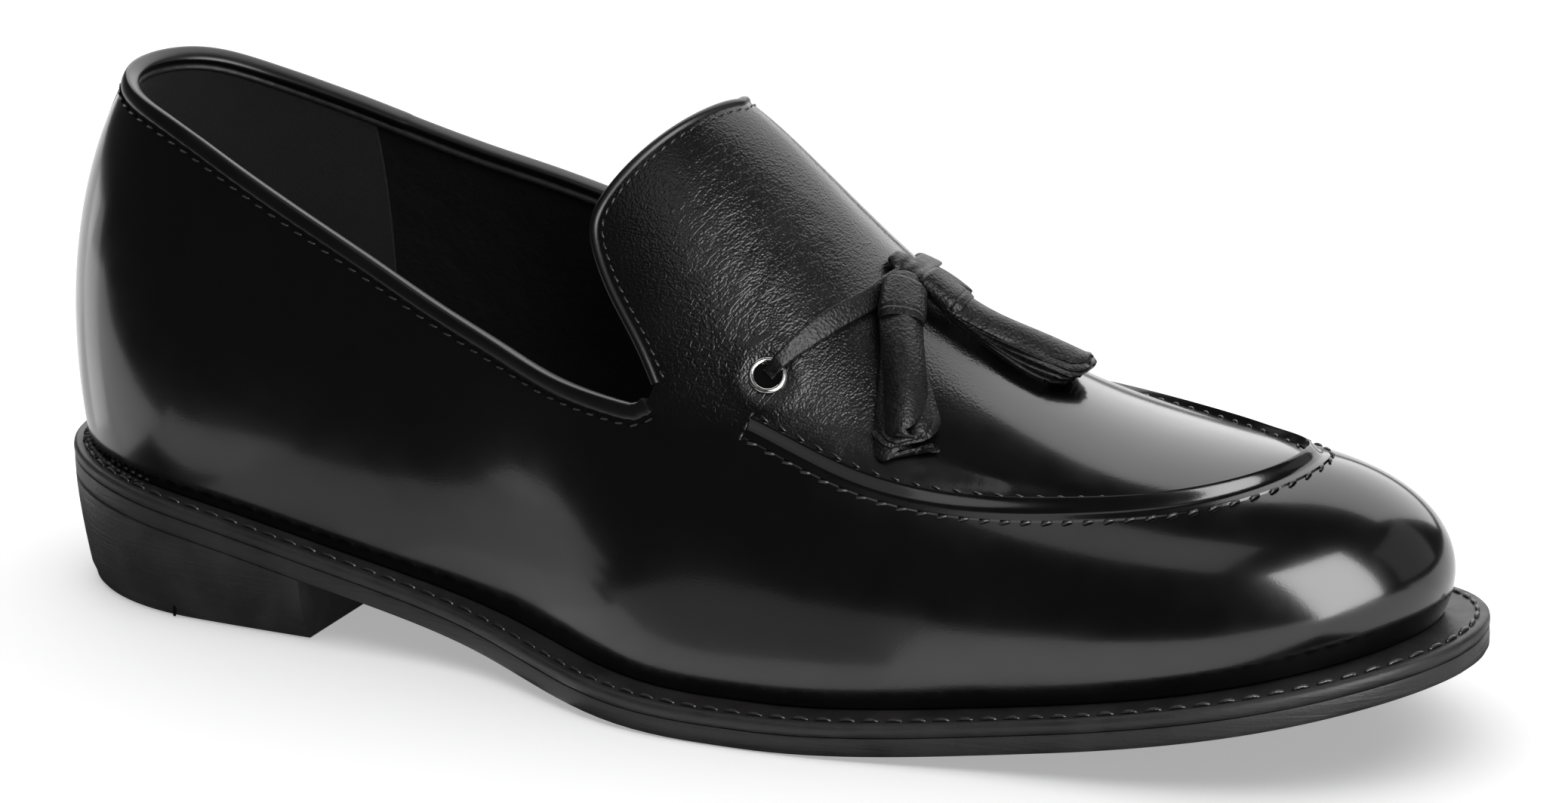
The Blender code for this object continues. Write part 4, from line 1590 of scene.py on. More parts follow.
        def profile(u: Array, v: Array) -> tuple[Array, Array]:
            """Returns the section: a roll that wraps the wall's edge, gathered at the throat.

            Args:
                u: Shares along the run.
                v: Shares round the section.

            Returns:
                Distances across and up.
            """
            angle = 2 * np.pi * v
            near_throat = smooth_step(np.abs(u - 0.5), *self.gather_span)
            gather = 1 + self.gather * np.sin(u * self.gather_rate) * near_throat
            past_lap = smooth_step(u, self.lap_share, self.lap_share + self.lap_end)
            gather = gather + self.lap_swell * smooth_step(u, *self.lap_start) * (1 - past_lap)
            out = np.where(np.sin(angle) > 0, self.bead_out, self.thickness + self.bead_in)
            drop = np.where(np.cos(angle) > 0, self.bead_drop, self.bead_rise)
            across = down * (squared(np.cos(angle), self.bead_power) * drop * gather)
            return across, squared(np.sin(angle), self.bead_power) * out * gather

        bead = sweep("collar_bead", run, self.edge_columns, self.bead_rows, profile)
        self.wardrobe.dress(bead, DulledCalf(), "topline_binding")
        seam = self.collar_seam
        row = run.shifted(down * (self.bead_drop + self.collar_seam_gap), self.slot_lift).spaced(seam.pitch)
        # Painted shade: a flat near-black slot under each stitch stands in for the shadow in its recessed
        # groove.
        slot = thread_stitch(self.shade_slot_length, self.shade_slot_width, 0.0, 0.0)
        self.wardrobe.dress(copies("collar_stitch_slots", slot, frames_on(row)), PaintedHoleShade())
        stitch = thread_stitch(seam.length, seam.thickness, seam.bow)
        places = frames_on(row.shifted(0.0, self.collar_seam_lift), self.collar_seam_turn)
        self.wardrobe.dress(copies(seam.name, stitch, places), WaxedThread())
        self.piping(run, down)

    def piping(self, run: Run, down: float) -> None:
        """Builds the folded edge of the lining, which shows as a dull cord inside the collar.

        Args:
            run: The collar's run.
            down: One or minus one, whichever turns across into down.
        """
        def profile(u: Array, v: Array) -> tuple[Array, Array]:
            """Returns a round section."""
            radius = self.piping_radius * (1 + self.piping_waver * np.sin(u * 610) * np.sin(u * 97))
            return radius * np.cos(2 * np.pi * v), radius * self.piping_tall * np.sin(2 * np.pi * v)

        inside = run.shifted(down * self.piping_in, -self.thickness - self.piping_sunk)
        fold = sweep("lining_fold", inside, self.edge_columns, self.piping_rows, profile)
        self.wardrobe.dress(fold, WornLining())

    def edge_run(self, count: int = 160) -> Run:
        """Returns the run of the tongue's edge from the lateral throat over the crest to the medial one.

        Args:
            count: How many points each half has.

        Returns:
            The run.
        """
        v = np.linspace(0, 1, count)
        halves = []
        for side in Side:
            x, w = LAST.tongue_edge(v, side)
            halves.append(LAST.run(x, side, w))
        return halves[0].joined(halves[1].reversed())

    def turned_edge(self) -> None:
        """Builds the thin folded edge of the tongue flap and the stitches inside it."""
        run = self.edge_run()
        inner = 1.0 if run.across[len(run.points) // 2] @ np.array([1, 0, 0]) > 0 else -1.0

        def profile(u: Array, v: Array) -> tuple[Array, Array]:
            """Returns a round section, centred in the wall."""
            angle = 2 * np.pi * v
            radius = self.fold_radius + 0 * u
            return radius * np.cos(angle) + inner * self.fold_in, radius * np.sin(angle) - self.thickness / 2

        lifted = run.shifted(0.0, self.fold_lift)
        fold = sweep("tongue_fold", lifted, self.fold_columns, self.fold_rows, profile)
        self.wardrobe.dress(fold, DulledCalf())
        row = run.shifted(inner * self.tongue_seam_in, self.tongue_seam_lift)
        self.wardrobe.dress(sewn(self.tongue_seam, row, self.tongue_seam_turn), WaxedThread())

    def strip_station(self, half: Array) -> Array:
        """Returns the stations behind the heel at which the feather is this far from the centre line."""
        stations = np.linspace(0, LAST.heel_round / 2, 400)
        return np.interp(half, LAST.half_width(stations, Side.LATERAL), stations)

    def back_strip(self) -> None:
        """Builds the strip over the back seam."""
        def place(u: Array, v: Array) -> Array:
            """Returns spots from one edge to the other, and up from the welt to the collar's bead.

            Args:
                u: First shares.
                v: Second shares.

            Returns:
                Spots in the frame.
            """
            half = (2 * u - 1) * self.strip_half * (1 - self.strip_narrowing * v)
            x = self.strip_station(np.abs(half))
            spots = np.empty((len(u), 3))
            for side in Side:
                mine = half < 0 if side is Side.LATERAL else half >= 0
                top = LAST.topline(x[mine], side) - self.bead_drop * 0.8 / LAST.instep_height
                w = self.strip_foot + (top - self.strip_foot) * v[mine]
                spots[mine] = LAST.point(x[mine], side, w) - LAST.normal(x[mine], side, w) * self.strip_sunk
            return spots

        strip = bent_grid("back_strip_leather", self.strip_columns, self.strip_rows, place)
        weld(strip)
        face_out(strip, (0, 0, 50 * MM))
        applied(strip, "SOLIDIFY", thickness=self.strip_thickness, offset=1)
        applied(strip, "BEVEL", width=self.strip_bevel, segments=3, limit_method="ANGLE")
        smooth(strip)
        self.wardrobe.dress(strip, PolishedCalf(), "back_strip")


@dataclass
class Apron:
    """The raised hand-sewn ridge round the apron, with its two rows of stitches."""

    wardrobe: Wardrobe
    start: float = 0.575
    width: float = 5.0 * MM
    height: float = 2.0 * MM
    sunk: float = 0.25 * MM
    toe_crowding: float = 1.6
    columns: int = 460
    rows: int = 44
    top_share: float = 0.75
    crest_span: tuple[float, float] = (-1.0, -0.80)
    crest_power: float = 0.8
    slope_span: tuple[float, float] = (-0.92, 0.35)
    slope_fall: float = 0.84
    flange_span: tuple[float, float] = (0.8, 1.0)
    flange_fall: float = 0.16
    far_span: tuple[float, float] = (0.52, 0.60)
    far_fall: float = 0.30
    outer_seam: Seam = Seam("ridge_outer_stitches", 2.3 * MM, 0.62 * MM, 0.25 * MM, 3.9 * MM)
    outer_place: float = 0.98
    outer_turn: float = 0.30
    outer_lift: float = 0.32 * MM
    inner_seam: Seam = Seam("ridge_inner_stitches", 2.0 * MM, 0.50 * MM, 0.25 * MM, 3.9 * MM)
    inner_place: float = -1.12
    inner_turn: float = -0.24
    inner_lift: float = 0.16 * MM
    end_seam: Seam = Seam("ridge_end_stitches", 1.7 * MM, 0.55 * MM, 0.3 * MM, 0.0)
    end_spread: float = 0.42
    end_out: float = 0.5 * MM
    end_count: int = 3

    def run(self, count: int = 200) -> Run:
        """Returns the ridge's run from its lateral end round the toe to its medial end.

        Args:
            count: How many points each half has.

        Returns:
            The run.
        """
        left = (1 - np.linspace(0, 1, count))**self.toe_crowding
        x = LAST.length - LAST.length * (1 - self.start) * left
        halves = [LAST.run(x, side, LAST.ridge(x, side)) for side in Side]
        return halves[0].joined(halves[1].reversed())

    def build(self) -> None:
        """Builds the ridge and its stitches."""
        run = self.run()
        outer = -1.0 if run.across[0] @ np.array([0, 0, 1]) > 0 else 1.0

        def profile(u: Array, v: Array) -> tuple[Array, Array]:
            """Returns the section: a crisp crest by the apron that rolls down to a flange.

            Args:
                u: Shares along the run.
                v: Shares round the section.

            Returns:
                Distances across and up.
            """
            top = self.top_share
            on_top = v < top
            s = np.where(on_top, 1 - 2 * v / top, 2 * (v - top) / (1 - top) - 1)
            rise = smooth_step(s, *self.crest_span)**self.crest_power
            fall = 1 - self.slope_fall * smooth_step(s, *self.slope_span)
            fall = fall - self.flange_fall * smooth_step(s, *self.flange_span)
            height = self.height * (1 - self.far_fall * smooth_step(u, *self.far_span))
            up = height * rise * fall - self.sunk * smooth_step(np.abs(s), *self.flange_span)
            return outer * s * self.width / 2, np.where(on_top, up, -self.sunk)

        ridge = sweep("apron_ridge_leather", run, self.columns, self.rows, profile)
        self.wardrobe.dress(ridge, PolishedCalf(), "apron_ridge")
        for seam, place, turn, lift in (
                (self.outer_seam, self.outer_place, self.outer_turn, self.outer_lift),
                (self.inner_seam, self.inner_place, self.inner_turn, self.inner_lift)):
            row = run.shifted(outer * place * self.width / 2, lift)
            self.wardrobe.dress(sewn(seam, row, turn), WaxedThread())
        self.end_stitches(run)

    def end_stitches(self, run: Run) -> None:
        """Closes the two square ends of the ridge with a few stitches each.

        Args:
            run: The ridge's run.
        """
        seam = self.end_seam
        ends = []
        for end in (run.at(np.array([0.0, 0.004])), run.reversed().at(np.array([0.0, 0.004]))):
            across = end.across[0]
            steps = np.linspace(-self.end_spread, self.end_spread, self.end_count)[:, None] * self.width
            points = end.points[0] + across * steps - end.tangents[0] * self.end_out
            points = points + end.normals[0] * self.end_out
            ends.append(frames_on(Run(points, np.tile(end.normals[0], (self.end_count, 1)))))
        stitch = thread_stitch(seam.length, seam.thickness, seam.bow)
        self.wardrobe.dress(copies(seam.name, stitch, np.concatenate(ends)), WaxedThread())


@dataclass(frozen=True)
class EyeletPlace:
    """Where the eyelets sit on each side, and how wide their hole is."""

    station: float = 0.581
    share: float = 0.515
    radius: float = 3.1 * MM
    wire: float = 0.52 * MM
    tip: float = 0.16


EYELET = EyeletPlace()


@dataclass
class Tassels:
    """Eyelets, lace, knot and the two tassels."""

    wardrobe: Wardrobe
    lace_width: float = 4.3 * MM
    lace_thickness: float = 1.2 * MM
    knot_station: float = 0.627
    knot_lift: float = 1.4 * MM
    knot_half_length: float = 3.4 * MM
    knot_share: float = 0.985
    knot_half_width: float = 3.4 * MM
    knot_half_height: float = 1.6 * MM
    knot_columns: int = 40
    knot_rows: int = 24
    strap_power: float = 0.35
    strap_edge_power: float = 0.55
    lace_columns: int = 180
    lace_rows: int = 24
    lace_end_width: float = 0.62
    lace_widening: tuple[float, float] = (0.02, 0.20)
    lace_rise: float = 0.5 * MM
    lace_arch: float = 0.3 * MM
    lace_dive: float = 1.2 * MM
    lace_dive_span: float = 0.045
    lace_twist: float = 0.28
    lace_twist_span: float = 0.1
    tail_width: float = 4.4 * MM
    tail_lift: float = 1.4 * MM
    tail_columns: int = 40
    strap_rows: int = 20
    loop_columns: int = 60
    loop_points: int = 48
    loop_lift: float = 0.6 * MM
    loop_narrow: float = 0.88
    loop_half_across: float = 3.1 * MM
    loop_half_up: float = 3.9 * MM
    loop_width: float = 3.0 * MM
    loop_turned: tuple[float, float] = (-0.12, 1.12)
    hole_shade_half_height: float = 0.3 * MM
    hole_shade_sunk: float = 0.25 * MM
    ring_flat: float = 0.8
    run_points: int = 80
    medial_size: float = 0.92
    far_shift_loss: float = 0.7
    cap_share: float = 0.27
    cap_width: float = 9.8 * MM
    cap_height: float = 5.4 * MM
    cap_round: float = 0.14
    cap_power: float = 0.85
    cap_lift: float = 0.4 * MM
    cap_head: float = 0.92
    cap_pinch: float = 0.10
    pinch_span: tuple[float, float] = (0.84, 1.0)
    ring_at: float = 0.82
    ring_spread: float = 0.03
    ring_depth: float = 0.05
    lap_at: float = 0.16
    lap_span: float = 0.30
    lap_height: float = 0.07
    far_shift: float = -2.2 * MM
    leaf_thickness: float = 0.8 * MM
    leaf_start: float = 0.8 * MM
    leaf_step: float = 0.35 * MM
    leaf_root: float = 0.72
    leaf_columns: int = 34
    leaf_rows: int = 14
    leaf_corner: float = 0.07
    leaf_root_width: float = 1.08
    leaf_lift: float = 0.5 * MM
    leaf_ripple: float = 0.18 * MM
    leaf_bevel: float = 0.14 * MM
    leaf_outside: float = 30 * MM

    def build(self) -> None:
        """Builds every piece of the trim."""
        for side in Side:
            self.eyelet(side)
        self.lace()
        self.knot()
        self.tassel("tassel_lateral", LATERAL_TASSEL_ROWS, Side.LATERAL, LATERAL_LEAVES)
        self.tassel("tassel_medial", MEDIAL_TASSEL_ROWS, Side.MEDIAL, MEDIAL_LEAVES)

    def eyelet(self, side: Side) -> None:
        """Builds one eyelet's ring, and a flat near-black disc in it that paints the shade of the hole.

        Args:
            side: The side that it sits on.
        """
        name = f"eyelet_{side.name.lower()}"
        x = np.full(3, LAST.length * EYELET.station) + np.array([-1, 0, 1]) * MM
        matrix = frames_on(LAST.run(x, side, np.full(3, EYELET.share)))[1]
        tipped = np.array(Matrix.Rotation(side.value * EYELET.tip, 4, "X"))
        matrix = matrix @ tipped
        deselect()
        bpy.ops.mesh.primitive_torus_add(major_segments=56, minor_segments=20, major_radius=EYELET.radius,
                                         minor_radius=EYELET.wire)
        ring = named(f"{name}_ring")
        spots = coordinates(ring) * (1, 1, self.ring_flat)
        move_to(ring, spots @ matrix[:3, :3].T + matrix[:3, 3])
        ring.data.shade_smooth()
        self.wardrobe.dress(ring, NickelPlate(), name)
        # Painted shade: a flattened near-black disc inside the ring stands in for the dark hole; nothing is
        # cut.
        deselect()
        bpy.ops.mesh.primitive_uv_sphere_add(segments=32, ring_count=12, radius=1)
        hole = named(f"{name}_hole")
        spots = coordinates(hole) * (EYELET.radius, EYELET.radius, self.hole_shade_half_height)
        spots = spots - (0, 0, self.hole_shade_sunk)
        move_to(hole, spots @ matrix[:3, :3].T + matrix[:3, 3])
        hole.data.shade_smooth()
        self.wardrobe.dress(hole, PaintedHoleShade())

    def strap_section(self, v: Array, width: Array | float) -> tuple[Array, Array]:
        """Returns a flat section with tight round edges."""
        angle = 2 * np.pi * v
        across = squared(np.cos(angle), self.strap_power) * width / 2
        return across, squared(np.sin(angle), self.strap_edge_power) * self.lace_thickness / 2

    def lace(self) -> None:
        """Builds the flat lace over the vamp, narrow where it dives into each eyelet."""
        along = np.linspace(0, 1, 60)
        lateral = LAST.table_run(LACE_ROWS, Side.LATERAL, along)
        medial = LAST.table_run(LACE_ROWS, Side.MEDIAL, along)
        run = lateral.joined(medial.reversed())

        def profile(u: Array, v: Array) -> tuple[Array, Array]:
            """Returns a flat section that dips and narrows at both ends.

            Args:
                u: Shares along the run.
                v: Shares round the section.

            Returns:
                Distances across and up.
            """
            from_end = np.minimum(u, 1 - u)
            least = self.lace_end_width
            width = self.lace_width * (least + (1 - least) * smooth_step(from_end, *self.lace_widening))
            across, up = self.strap_section(v, width)
            rise = self.lace_rise + self.lace_arch * np.sin(np.pi * np.clip(from_end / 0.5, 0, 1))
            dive = -self.lace_dive * (1 - smooth_step(from_end, 0.0, self.lace_dive_span))
            lean = np.where(u < 0.5, 1, -1) * smooth_step(from_end, 0.0, self.lace_twist_span)
            twist = self.lace_twist * across * lean
            return across, up + twist + self.lace_thickness / 2 + rise + dive

        strap = sweep("lace_strap", run, self.lace_columns, self.lace_rows, profile)
        self.wardrobe.dress(strap, GrainedLeather(), "lace")
        self.tail()

    def tail(self) -> None:
        """Builds the strap's loose tail beyond the knot, which shows its worn flesh side."""
        along = np.linspace(0, 1, self.tail_columns)
        far = LAST.table_run(FAR_STRAP_ROWS, Side.MEDIAL, along).shifted(0.0, self.tail_lift)
        strap = sweep("lace_far_strap", far, self.tail_columns, self.strap_rows,
                      lambda u, v: self.strap_section(v, self.tail_width))
        self.wardrobe.dress(strap, WornLining())

    def loop_over(self, run: Run) -> Piece:
        """Makes a strap that loops over a tassel's head.

        Args:
            run: The tassel's run.

        Returns:
            The loop.
        """
        here = run.at(np.array([0.0, 0.02]))
        side, normal = here.across[0], here.normals[0]
        angle = np.pi * np.linspace(*self.loop_turned, self.loop_points)[:, None]
        wide, tall = self.loop_half_across, self.loop_half_up
        points = here.points[0] + side * np.cos(angle) * wide
        points = points + normal * (np.sin(angle) * tall + self.loop_lift)
        normals = unit(side * np.cos(angle) / wide + normal * np.sin(angle) / tall)

        def profile(u: Array, v: Array) -> tuple[Array, Array]:
            """Returns the strap's flat section."""
            narrow = self.loop_narrow + (1 - self.loop_narrow) * np.sin(np.pi * u)
            return self.strap_section(v, self.loop_width * narrow)
        return sweep("loop", Run(points, normals), self.loop_columns, self.strap_rows, profile)

    def knot(self) -> None:
        """Builds the knot: a low wrapped lump, and a folded loop over the lateral tassel's head."""
        half = self.knot_half_length
        x = LAST.length * self.knot_station + np.linspace(-half, half, 5)
        base = LAST.run(x, Side.LATERAL, np.full(len(x), self.knot_share)).shifted(0.0, self.knot_lift)

        def wrap(u: Array, v: Array) -> tuple[Array, Array]:
            """Returns the section of the wrap, swollen in its middle."""
            angle = 2 * np.pi * v
            swell = np.sqrt(np.clip(1 - (2 * u - 1)**2, 0, 1))**0.6 * (1 + 0.05 * np.cos(u * 24))
            return (self.knot_half_width * swell * np.cos(angle),
                    self.knot_half_height * swell * np.sin(angle))

        lateral = LAST.table_run(LATERAL_TASSEL_ROWS, Side.LATERAL, np.linspace(0, 1, self.run_points))
        pieces = [sweep("wrap", base, self.knot_columns, self.knot_rows, wrap), self.loop_over(lateral)]
        self.wardrobe.dress(joined("knot_wrap", pieces), GrainedLeather(), "lace_knot")

    def tassel(self, name: str, rows: Sequence[RunRow], side: Side, leaves: Sequence[LeafRow]) -> None:
        """Builds one tassel: the rolled cap, its seam ring and the layered leaves.

        Args:
            name: The CAD node it stands for.
            rows: The tassel's run.
            side: The side it lies on.
            leaves: Its leaves, from the lowest to the top one.
        """
        run = LAST.table_run(rows, side, np.linspace(0, 1, self.run_points))
        size = 1.0 if side is Side.LATERAL else self.medial_size
        if side is Side.MEDIAL:
            along = run.marks / run.marks[-1]
            run = run.shifted(self.far_shift * (1 - self.far_shift_loss * along), 0.0)
        pieces = [self.cap(run, size)]
        pieces += [self.leaf(run, row, layer, size) for layer, row in enumerate(leaves)]
        self.wardrobe.dress(joined(f"{name}_leather", pieces), GrainedLeather(), name)

    def cap(self, run: Run, size: float) -> Piece:
        """Returns a tassel's rolled cap, with a pressed ring near its lower end.

        Args:
            run: The tassel's run.
            size: The tassel's size.

        Returns:
            The closed cap.
        """
        head = run.at(np.linspace(0, self.cap_share, 30))

        def profile(u: Array, v: Array) -> tuple[Array, Array]:
            """Returns the cap's section: round, with the lap of its roll on top.

            Args:
                u: Shares along the run.
                v: Shares round the section.

            Returns:
                Distances across and up.
            """
            angle = 2 * np.pi * v
            closing = np.clip(1 - (1 - np.clip(u / self.cap_round, 0, 1))**2, 0.0, 1)**0.5
            pressed = np.exp(-((u - self.ring_at) / self.ring_spread)**2)
            ring = 1 - self.ring_depth * pressed - self.cap_pinch * smooth_step(u, *self.pinch_span)
            lap = 1 + self.lap_height * np.clip(1 - np.mod(v - self.lap_at, 1.0) / self.lap_span, 0, 1)
            swell = closing * ring * lap * (self.cap_head + (1 - self.cap_head) * u) * size
            across = squared(np.cos(angle), self.cap_power)
            up = self.cap_height / 2 * (swell * np.sin(angle) + 1) + self.cap_lift
            return self.cap_width / 2 * swell * across, up
        return sweep("cap", head, 56, 44, profile)

    def leaf(self, run: Run, row: LeafRow, layer: int, size: float) -> Piece:
        """Returns one leaf: a strip that leaves the cap, fans out and curls at its tip.

        Args:
            run: The tassel's run.
            row: The leaf's tip and width.
            layer: Its place from below.
            size: The tassel's size.

        Returns:
            The closed leaf.
        """
        start = self.cap_share * self.leaf_root

        def place(u: Array, v: Array) -> Array:
            """Returns spots from the cap to the tip, and across the strip.

            Args:
                u: First shares.
                v: Second shares.

            Returns:
                Spots in the frame.
            """
            reach = row.reach + row.slant * (2 * v - 1) - self.leaf_corner * np.abs(2 * v - 1)**3
            shares = start + (reach - start) * u
            line = run.at(np.clip(shares, 0, 1))
            beyond = np.clip(shares - 1, 0, 1)[:, None] * run.marks[-1]
            drift = smooth_step(u, 0.0, 1.15)
            root = self.leaf_root_width
            width = row.width * MM * (root - (root - 1) * smooth_step(u, 0.1, 0.7)) * size
            across = (v - 0.5) * width + row.across * MM * drift
            low = self.leaf_start + self.leaf_step * layer
            arch = (1 - (2 * v - 1)**2) * row.arch * MM * (0.9 + 0.3 * np.sin(np.pi * u) - 0.3 * u)
            up = low + (row.up * MM - low) * smooth_step(u, 0.0, 0.9) + arch + self.leaf_lift
            ripple = self.leaf_ripple * np.sin(9 * u + 2.1 * layer) * (2 * v - 1)
            return (line.points + line.tangents * beyond + line.across * across[:, None]
                    + line.normals * (up + ripple)[:, None])

        strip = bent_grid("leaf", self.leaf_columns, self.leaf_rows, place)
        face_out(strip, coordinates(strip).mean(0) - run.normals.mean(0) * self.leaf_outside)
        applied(strip, "SOLIDIFY", thickness=self.leaf_thickness, offset=0)
        applied(strip, "BEVEL", width=self.leaf_bevel, segments=2, limit_method="ANGLE")
        smooth(strip)
        return strip


@dataclass
class Sole:
    """Welt, outsole, heel and insole, each with its own edge shape."""

    wardrobe: Wardrobe
    columns: int = 260
    heel_columns: int = 90
    edge_round: float = 0.9 * MM
    heel_taper: float = 2.6 * MM
    seam_gap: float = 0.04 * MM
    heel_crowding: float = 1.6
    foot_steps: tuple[tuple[float, float], ...] = ((0.0, 0.9 * MM), (0.03, 0.35 * MM), (0.08, 0.1 * MM))
    side_levels: tuple[float, ...] = (0.16, 0.3, 0.45, 0.6, 0.75, 0.9, 0.985)
    side_power: float = 1.5
    heel_lip: float = 0.22 * MM
    face_rows: int = 12
    welt_inside: float = 5.0 * MM
    seam: Seam = Seam("welt_stitches", 3.5 * MM, 0.85 * MM, 0.3 * MM, 4.6 * MM)
    seam_inset: float = 2.3 * MM
    seam_lift: float = 0.15 * MM
    seam_points: int = 900
    slit_station: float = 33.8 * MM
    slit_width: float = 0.5 * MM
    slit_height: float = 3.1 * MM
    slit_middle: float = 1.75 * MM
    slit_lean: float = 0.10
    slit_sunk: float = 0.05 * MM
    slit_proud: float = 0.12 * MM
    slit_bevel: float = 0.12
    bead_span: float = 0.10
    bead_points: int = 240
    bead_seed: int = 5
    bead_length: float = 2.3 * MM
    bead_thickness: float = 1.5 * MM
    bead_bow: float = 0.5 * MM
    bead_twist: float = 1.5
    bead_turn: float = 0.6
    bead_turn_chance: float = 0.4
    bead_tip_chance: float = 0.25
    bead_size_chance: float = 0.15
    sock_inset: float = 2.6 * MM
    sock_gap: float = 0.5 * MM
    sock_thickness: float = 2.6 * MM
    sock_round: float = 0.8 * MM

    def build(self) -> None:
        """Builds every piece under the upper."""
        self.outsole()
        self.welt()
        self.heel()
        self.sock()
        self.welt_stitches()

    def loop(self, u: Array, height: Height, share: float, extra: Array | float, heel: bool = False) -> Array:
        """Returns spots on a loop round the sole.

        Args:
            u: Shares round the loop: nought and one at the front, a half at the heel.
            height: Gives heights for stations.
            share: Share of the welt's reach beyond the feather.
            extra: Distance added outwards.
            heel: Whether the loop ends at the heel's front.

        Returns:
            Spots in the frame.
        """
        s = np.abs(2 * u - 1)
        x = LAST.heel_length * s**self.heel_crowding if heel else LAST.length * (1 - np.cos(np.pi * s)) / 2
        spots = np.empty((len(u), 3))
        extra = np.broadcast_to(extra, np.shape(u))
        for side in Side:
            mine = u < 0.5 if side is Side.LATERAL else u >= 0.5
            spots[mine, :2] = LAST.outline(x[mine], side, share, extra[mine])
        spots[:, 2] = height(x)
        return spots

    def slab(self, name: str, sections: Sequence[tuple[float, float]], low: Height, high: Height,
             share: float, heel: bool = False) -> Piece:
        """Builds a closed slab from the shape of its edge.

        Args:
            name: The new piece's name.
            sections: Pairs of a share of the height and a distance outwards, from below.
            low: Gives the lower face's height for stations.
            high: Gives the upper face's height for stations.
            share: Share of the welt's reach beyond the feather.
            heel: Whether it ends at the heel's front, in a breast.

        Returns:
            The closed slab.
        """
        levels, outs = np.array(sections, float).T
        rows = len(sections) - 1
        columns = self.heel_columns if heel else self.columns

        def edge(u: Array, v: Array) -> Array:
            """Returns spots on the slab's edge."""
            corners = np.arange(rows + 1)
            level, out = np.interp(v * rows, corners, levels), np.interp(v * rows, corners, outs)
            return self.loop(u, lambda x: low(x) + (high(x) - low(x)) * level, share, out, heel)

        def face(v_edge: float) -> Place:
            """Returns the place function of the lower or the upper face."""
            def place(u: Array, v: Array) -> Array:
                """Returns spots between the two edges at one station."""
                lateral = edge((1 - u) / 2, np.full_like(u, v_edge))
                medial = edge((1 + u) / 2, np.full_like(u, v_edge))
                return lateral + (medial - lateral) * v[:, None]
            return place

        def breast(u: Array, v: Array) -> Array:
            """Returns spots on the flat front between the loop's two ends."""
            lateral, medial = edge(0 * u, v), edge(0 * u + 1, v)
            return lateral + (medial - lateral) * u[:, None]

        parts = [bent_grid("edge", columns, rows, edge)]
        parts += [bent_grid("face", columns // 2, self.face_rows, face(level)) for level in (0.0, 1.0)]
        if heel:
            parts.append(bent_grid("breast", self.face_rows, rows, breast))
        slab = joined(name, parts)
        weld(slab, 0.01 * MM)
        smooth(slab, 0.6)
        return slab

    def outsole(self) -> None:
        """Builds the outsole, with its edge rounded below and a groove under the welt."""
        r = self.edge_round
        sections = ((0.0, -0.45 * r), (0.04, -0.16 * r), (0.12, -0.03 * r), (0.3, 0), (0.62, 0.03 * r),
                    (0.88, 0), (0.97, -0.08 * r), (1.0, -0.30 * r))
        slab = self.slab("outsole_leather", sections, LAST.sole_height,
                         lambda x: LAST.sole_height(x) + LAST.outsole_thickness, 1.0)
        self.wardrobe.dress(slab, SoleEdge(), "outsole")

    def welt(self) -> None:
        """Builds the welt as a ring with a rounded lip."""
        def low(x: Array) -> Array:
            """Returns the height of the welt's underside."""
            return LAST.sole_height(x) + LAST.outsole_thickness + self.seam_gap

        outline = ((0.0, -0.28), (0.06, -0.05), (0.30, 0.04), (0.56, 0.10), (0.80, -0.05), (0.96, -0.50),
                   (1.0, -1.3), (0.93, -2.1))
        levels, outs = np.array(outline).T
        inner = ((0.93, -self.welt_inside), (0.0, -self.welt_inside))

        def place(u: Array, v: Array) -> Array:
            """Returns spots round the loop and round the section.

            Args:
                u: First shares.
                v: Second shares.

            Returns:
                Spots in the frame.
            """
            rows = len(outline) + len(inner)
            k = np.rint(np.mod(v, 1.0) * rows).astype(int) % rows
            spots = np.empty((len(u), 3))
            for row in range(rows):
                mine = k == row
                if row < len(outline):
                    level, share, extra = levels[row], 1.0, outs[row] * self.edge_round
                else:
                    level, extra = inner[row - len(outline)]
                    share = 0.0
                spots[mine] = self.loop(u[mine], lambda x, t=level: low(x) + (LAST.welt_top(x) - low(x)) * t,
                                        share, extra)
            return spots

        ring = bent_grid("welt_leather", self.columns, len(outline) + len(inner), place)
        weld(ring, 0.01 * MM)
        smooth(ring, 0.9)
        self.wardrobe.dress(ring, SoleEdge(), "welt")

    def heel(self) -> None:
        """Builds the heel and its top lift as one burnished block."""
        def seat(x: Array) -> Array:
            """Returns the height of the heel's upper face."""
            return LAST.sole_height(x) - self.seam_gap

        taper = self.heel_taper
        sections = [(level, -taper - inset) for level, inset in self.foot_steps]
        sections += [(level, -taper * (1 - level)**self.side_power) for level in self.side_levels]
        sections.append((1.0, -self.heel_lip))
        block = self.slab("heel_block", sections, lambda x: 0 * x, seat, 1.0, heel=True)
        self.wardrobe.dress(block, SoleEdge(), "heel_stack", "top_lift")
        self.slit()
        self.rand_beads()

    def slit(self) -> None:
        """Adds a flat near-black box at the foot of the heel's lateral side that paints the shade of its small
        slit; nothing is cut.
        """
        x = np.array([self.slit_station - MM, self.slit_station, self.slit_station + MM])
        edge = LAST.outline(x, Side.LATERAL, 1.0, -self.heel_taper + self.slit_sunk)
        out = unit(np.append(LAST.feather_normal(x, Side.LATERAL)[1], 0.0))
        deselect()
        bpy.ops.mesh.primitive_cube_add(size=1)
        slit = named("heel_slit")
        applied(slit, "BEVEL", width=self.slit_bevel, segments=2)
        along = np.array([-out[1], out[0], 0.0])
        shape = coordinates(slit) * (self.slit_width, self.slit_width, self.slit_height)
        lean = np.array([0.0, self.slit_lean, 1.0])
        spots = shape[:, :1] * along + shape[:, 1:2] * out + shape[:, 2:] * lean
        middle = np.array([edge[1, 0], edge[1, 1], self.slit_middle])
        move_to(slit, spots + middle + out * self.slit_proud)
        self.wardrobe.dress(slit, PaintedHoleShade())

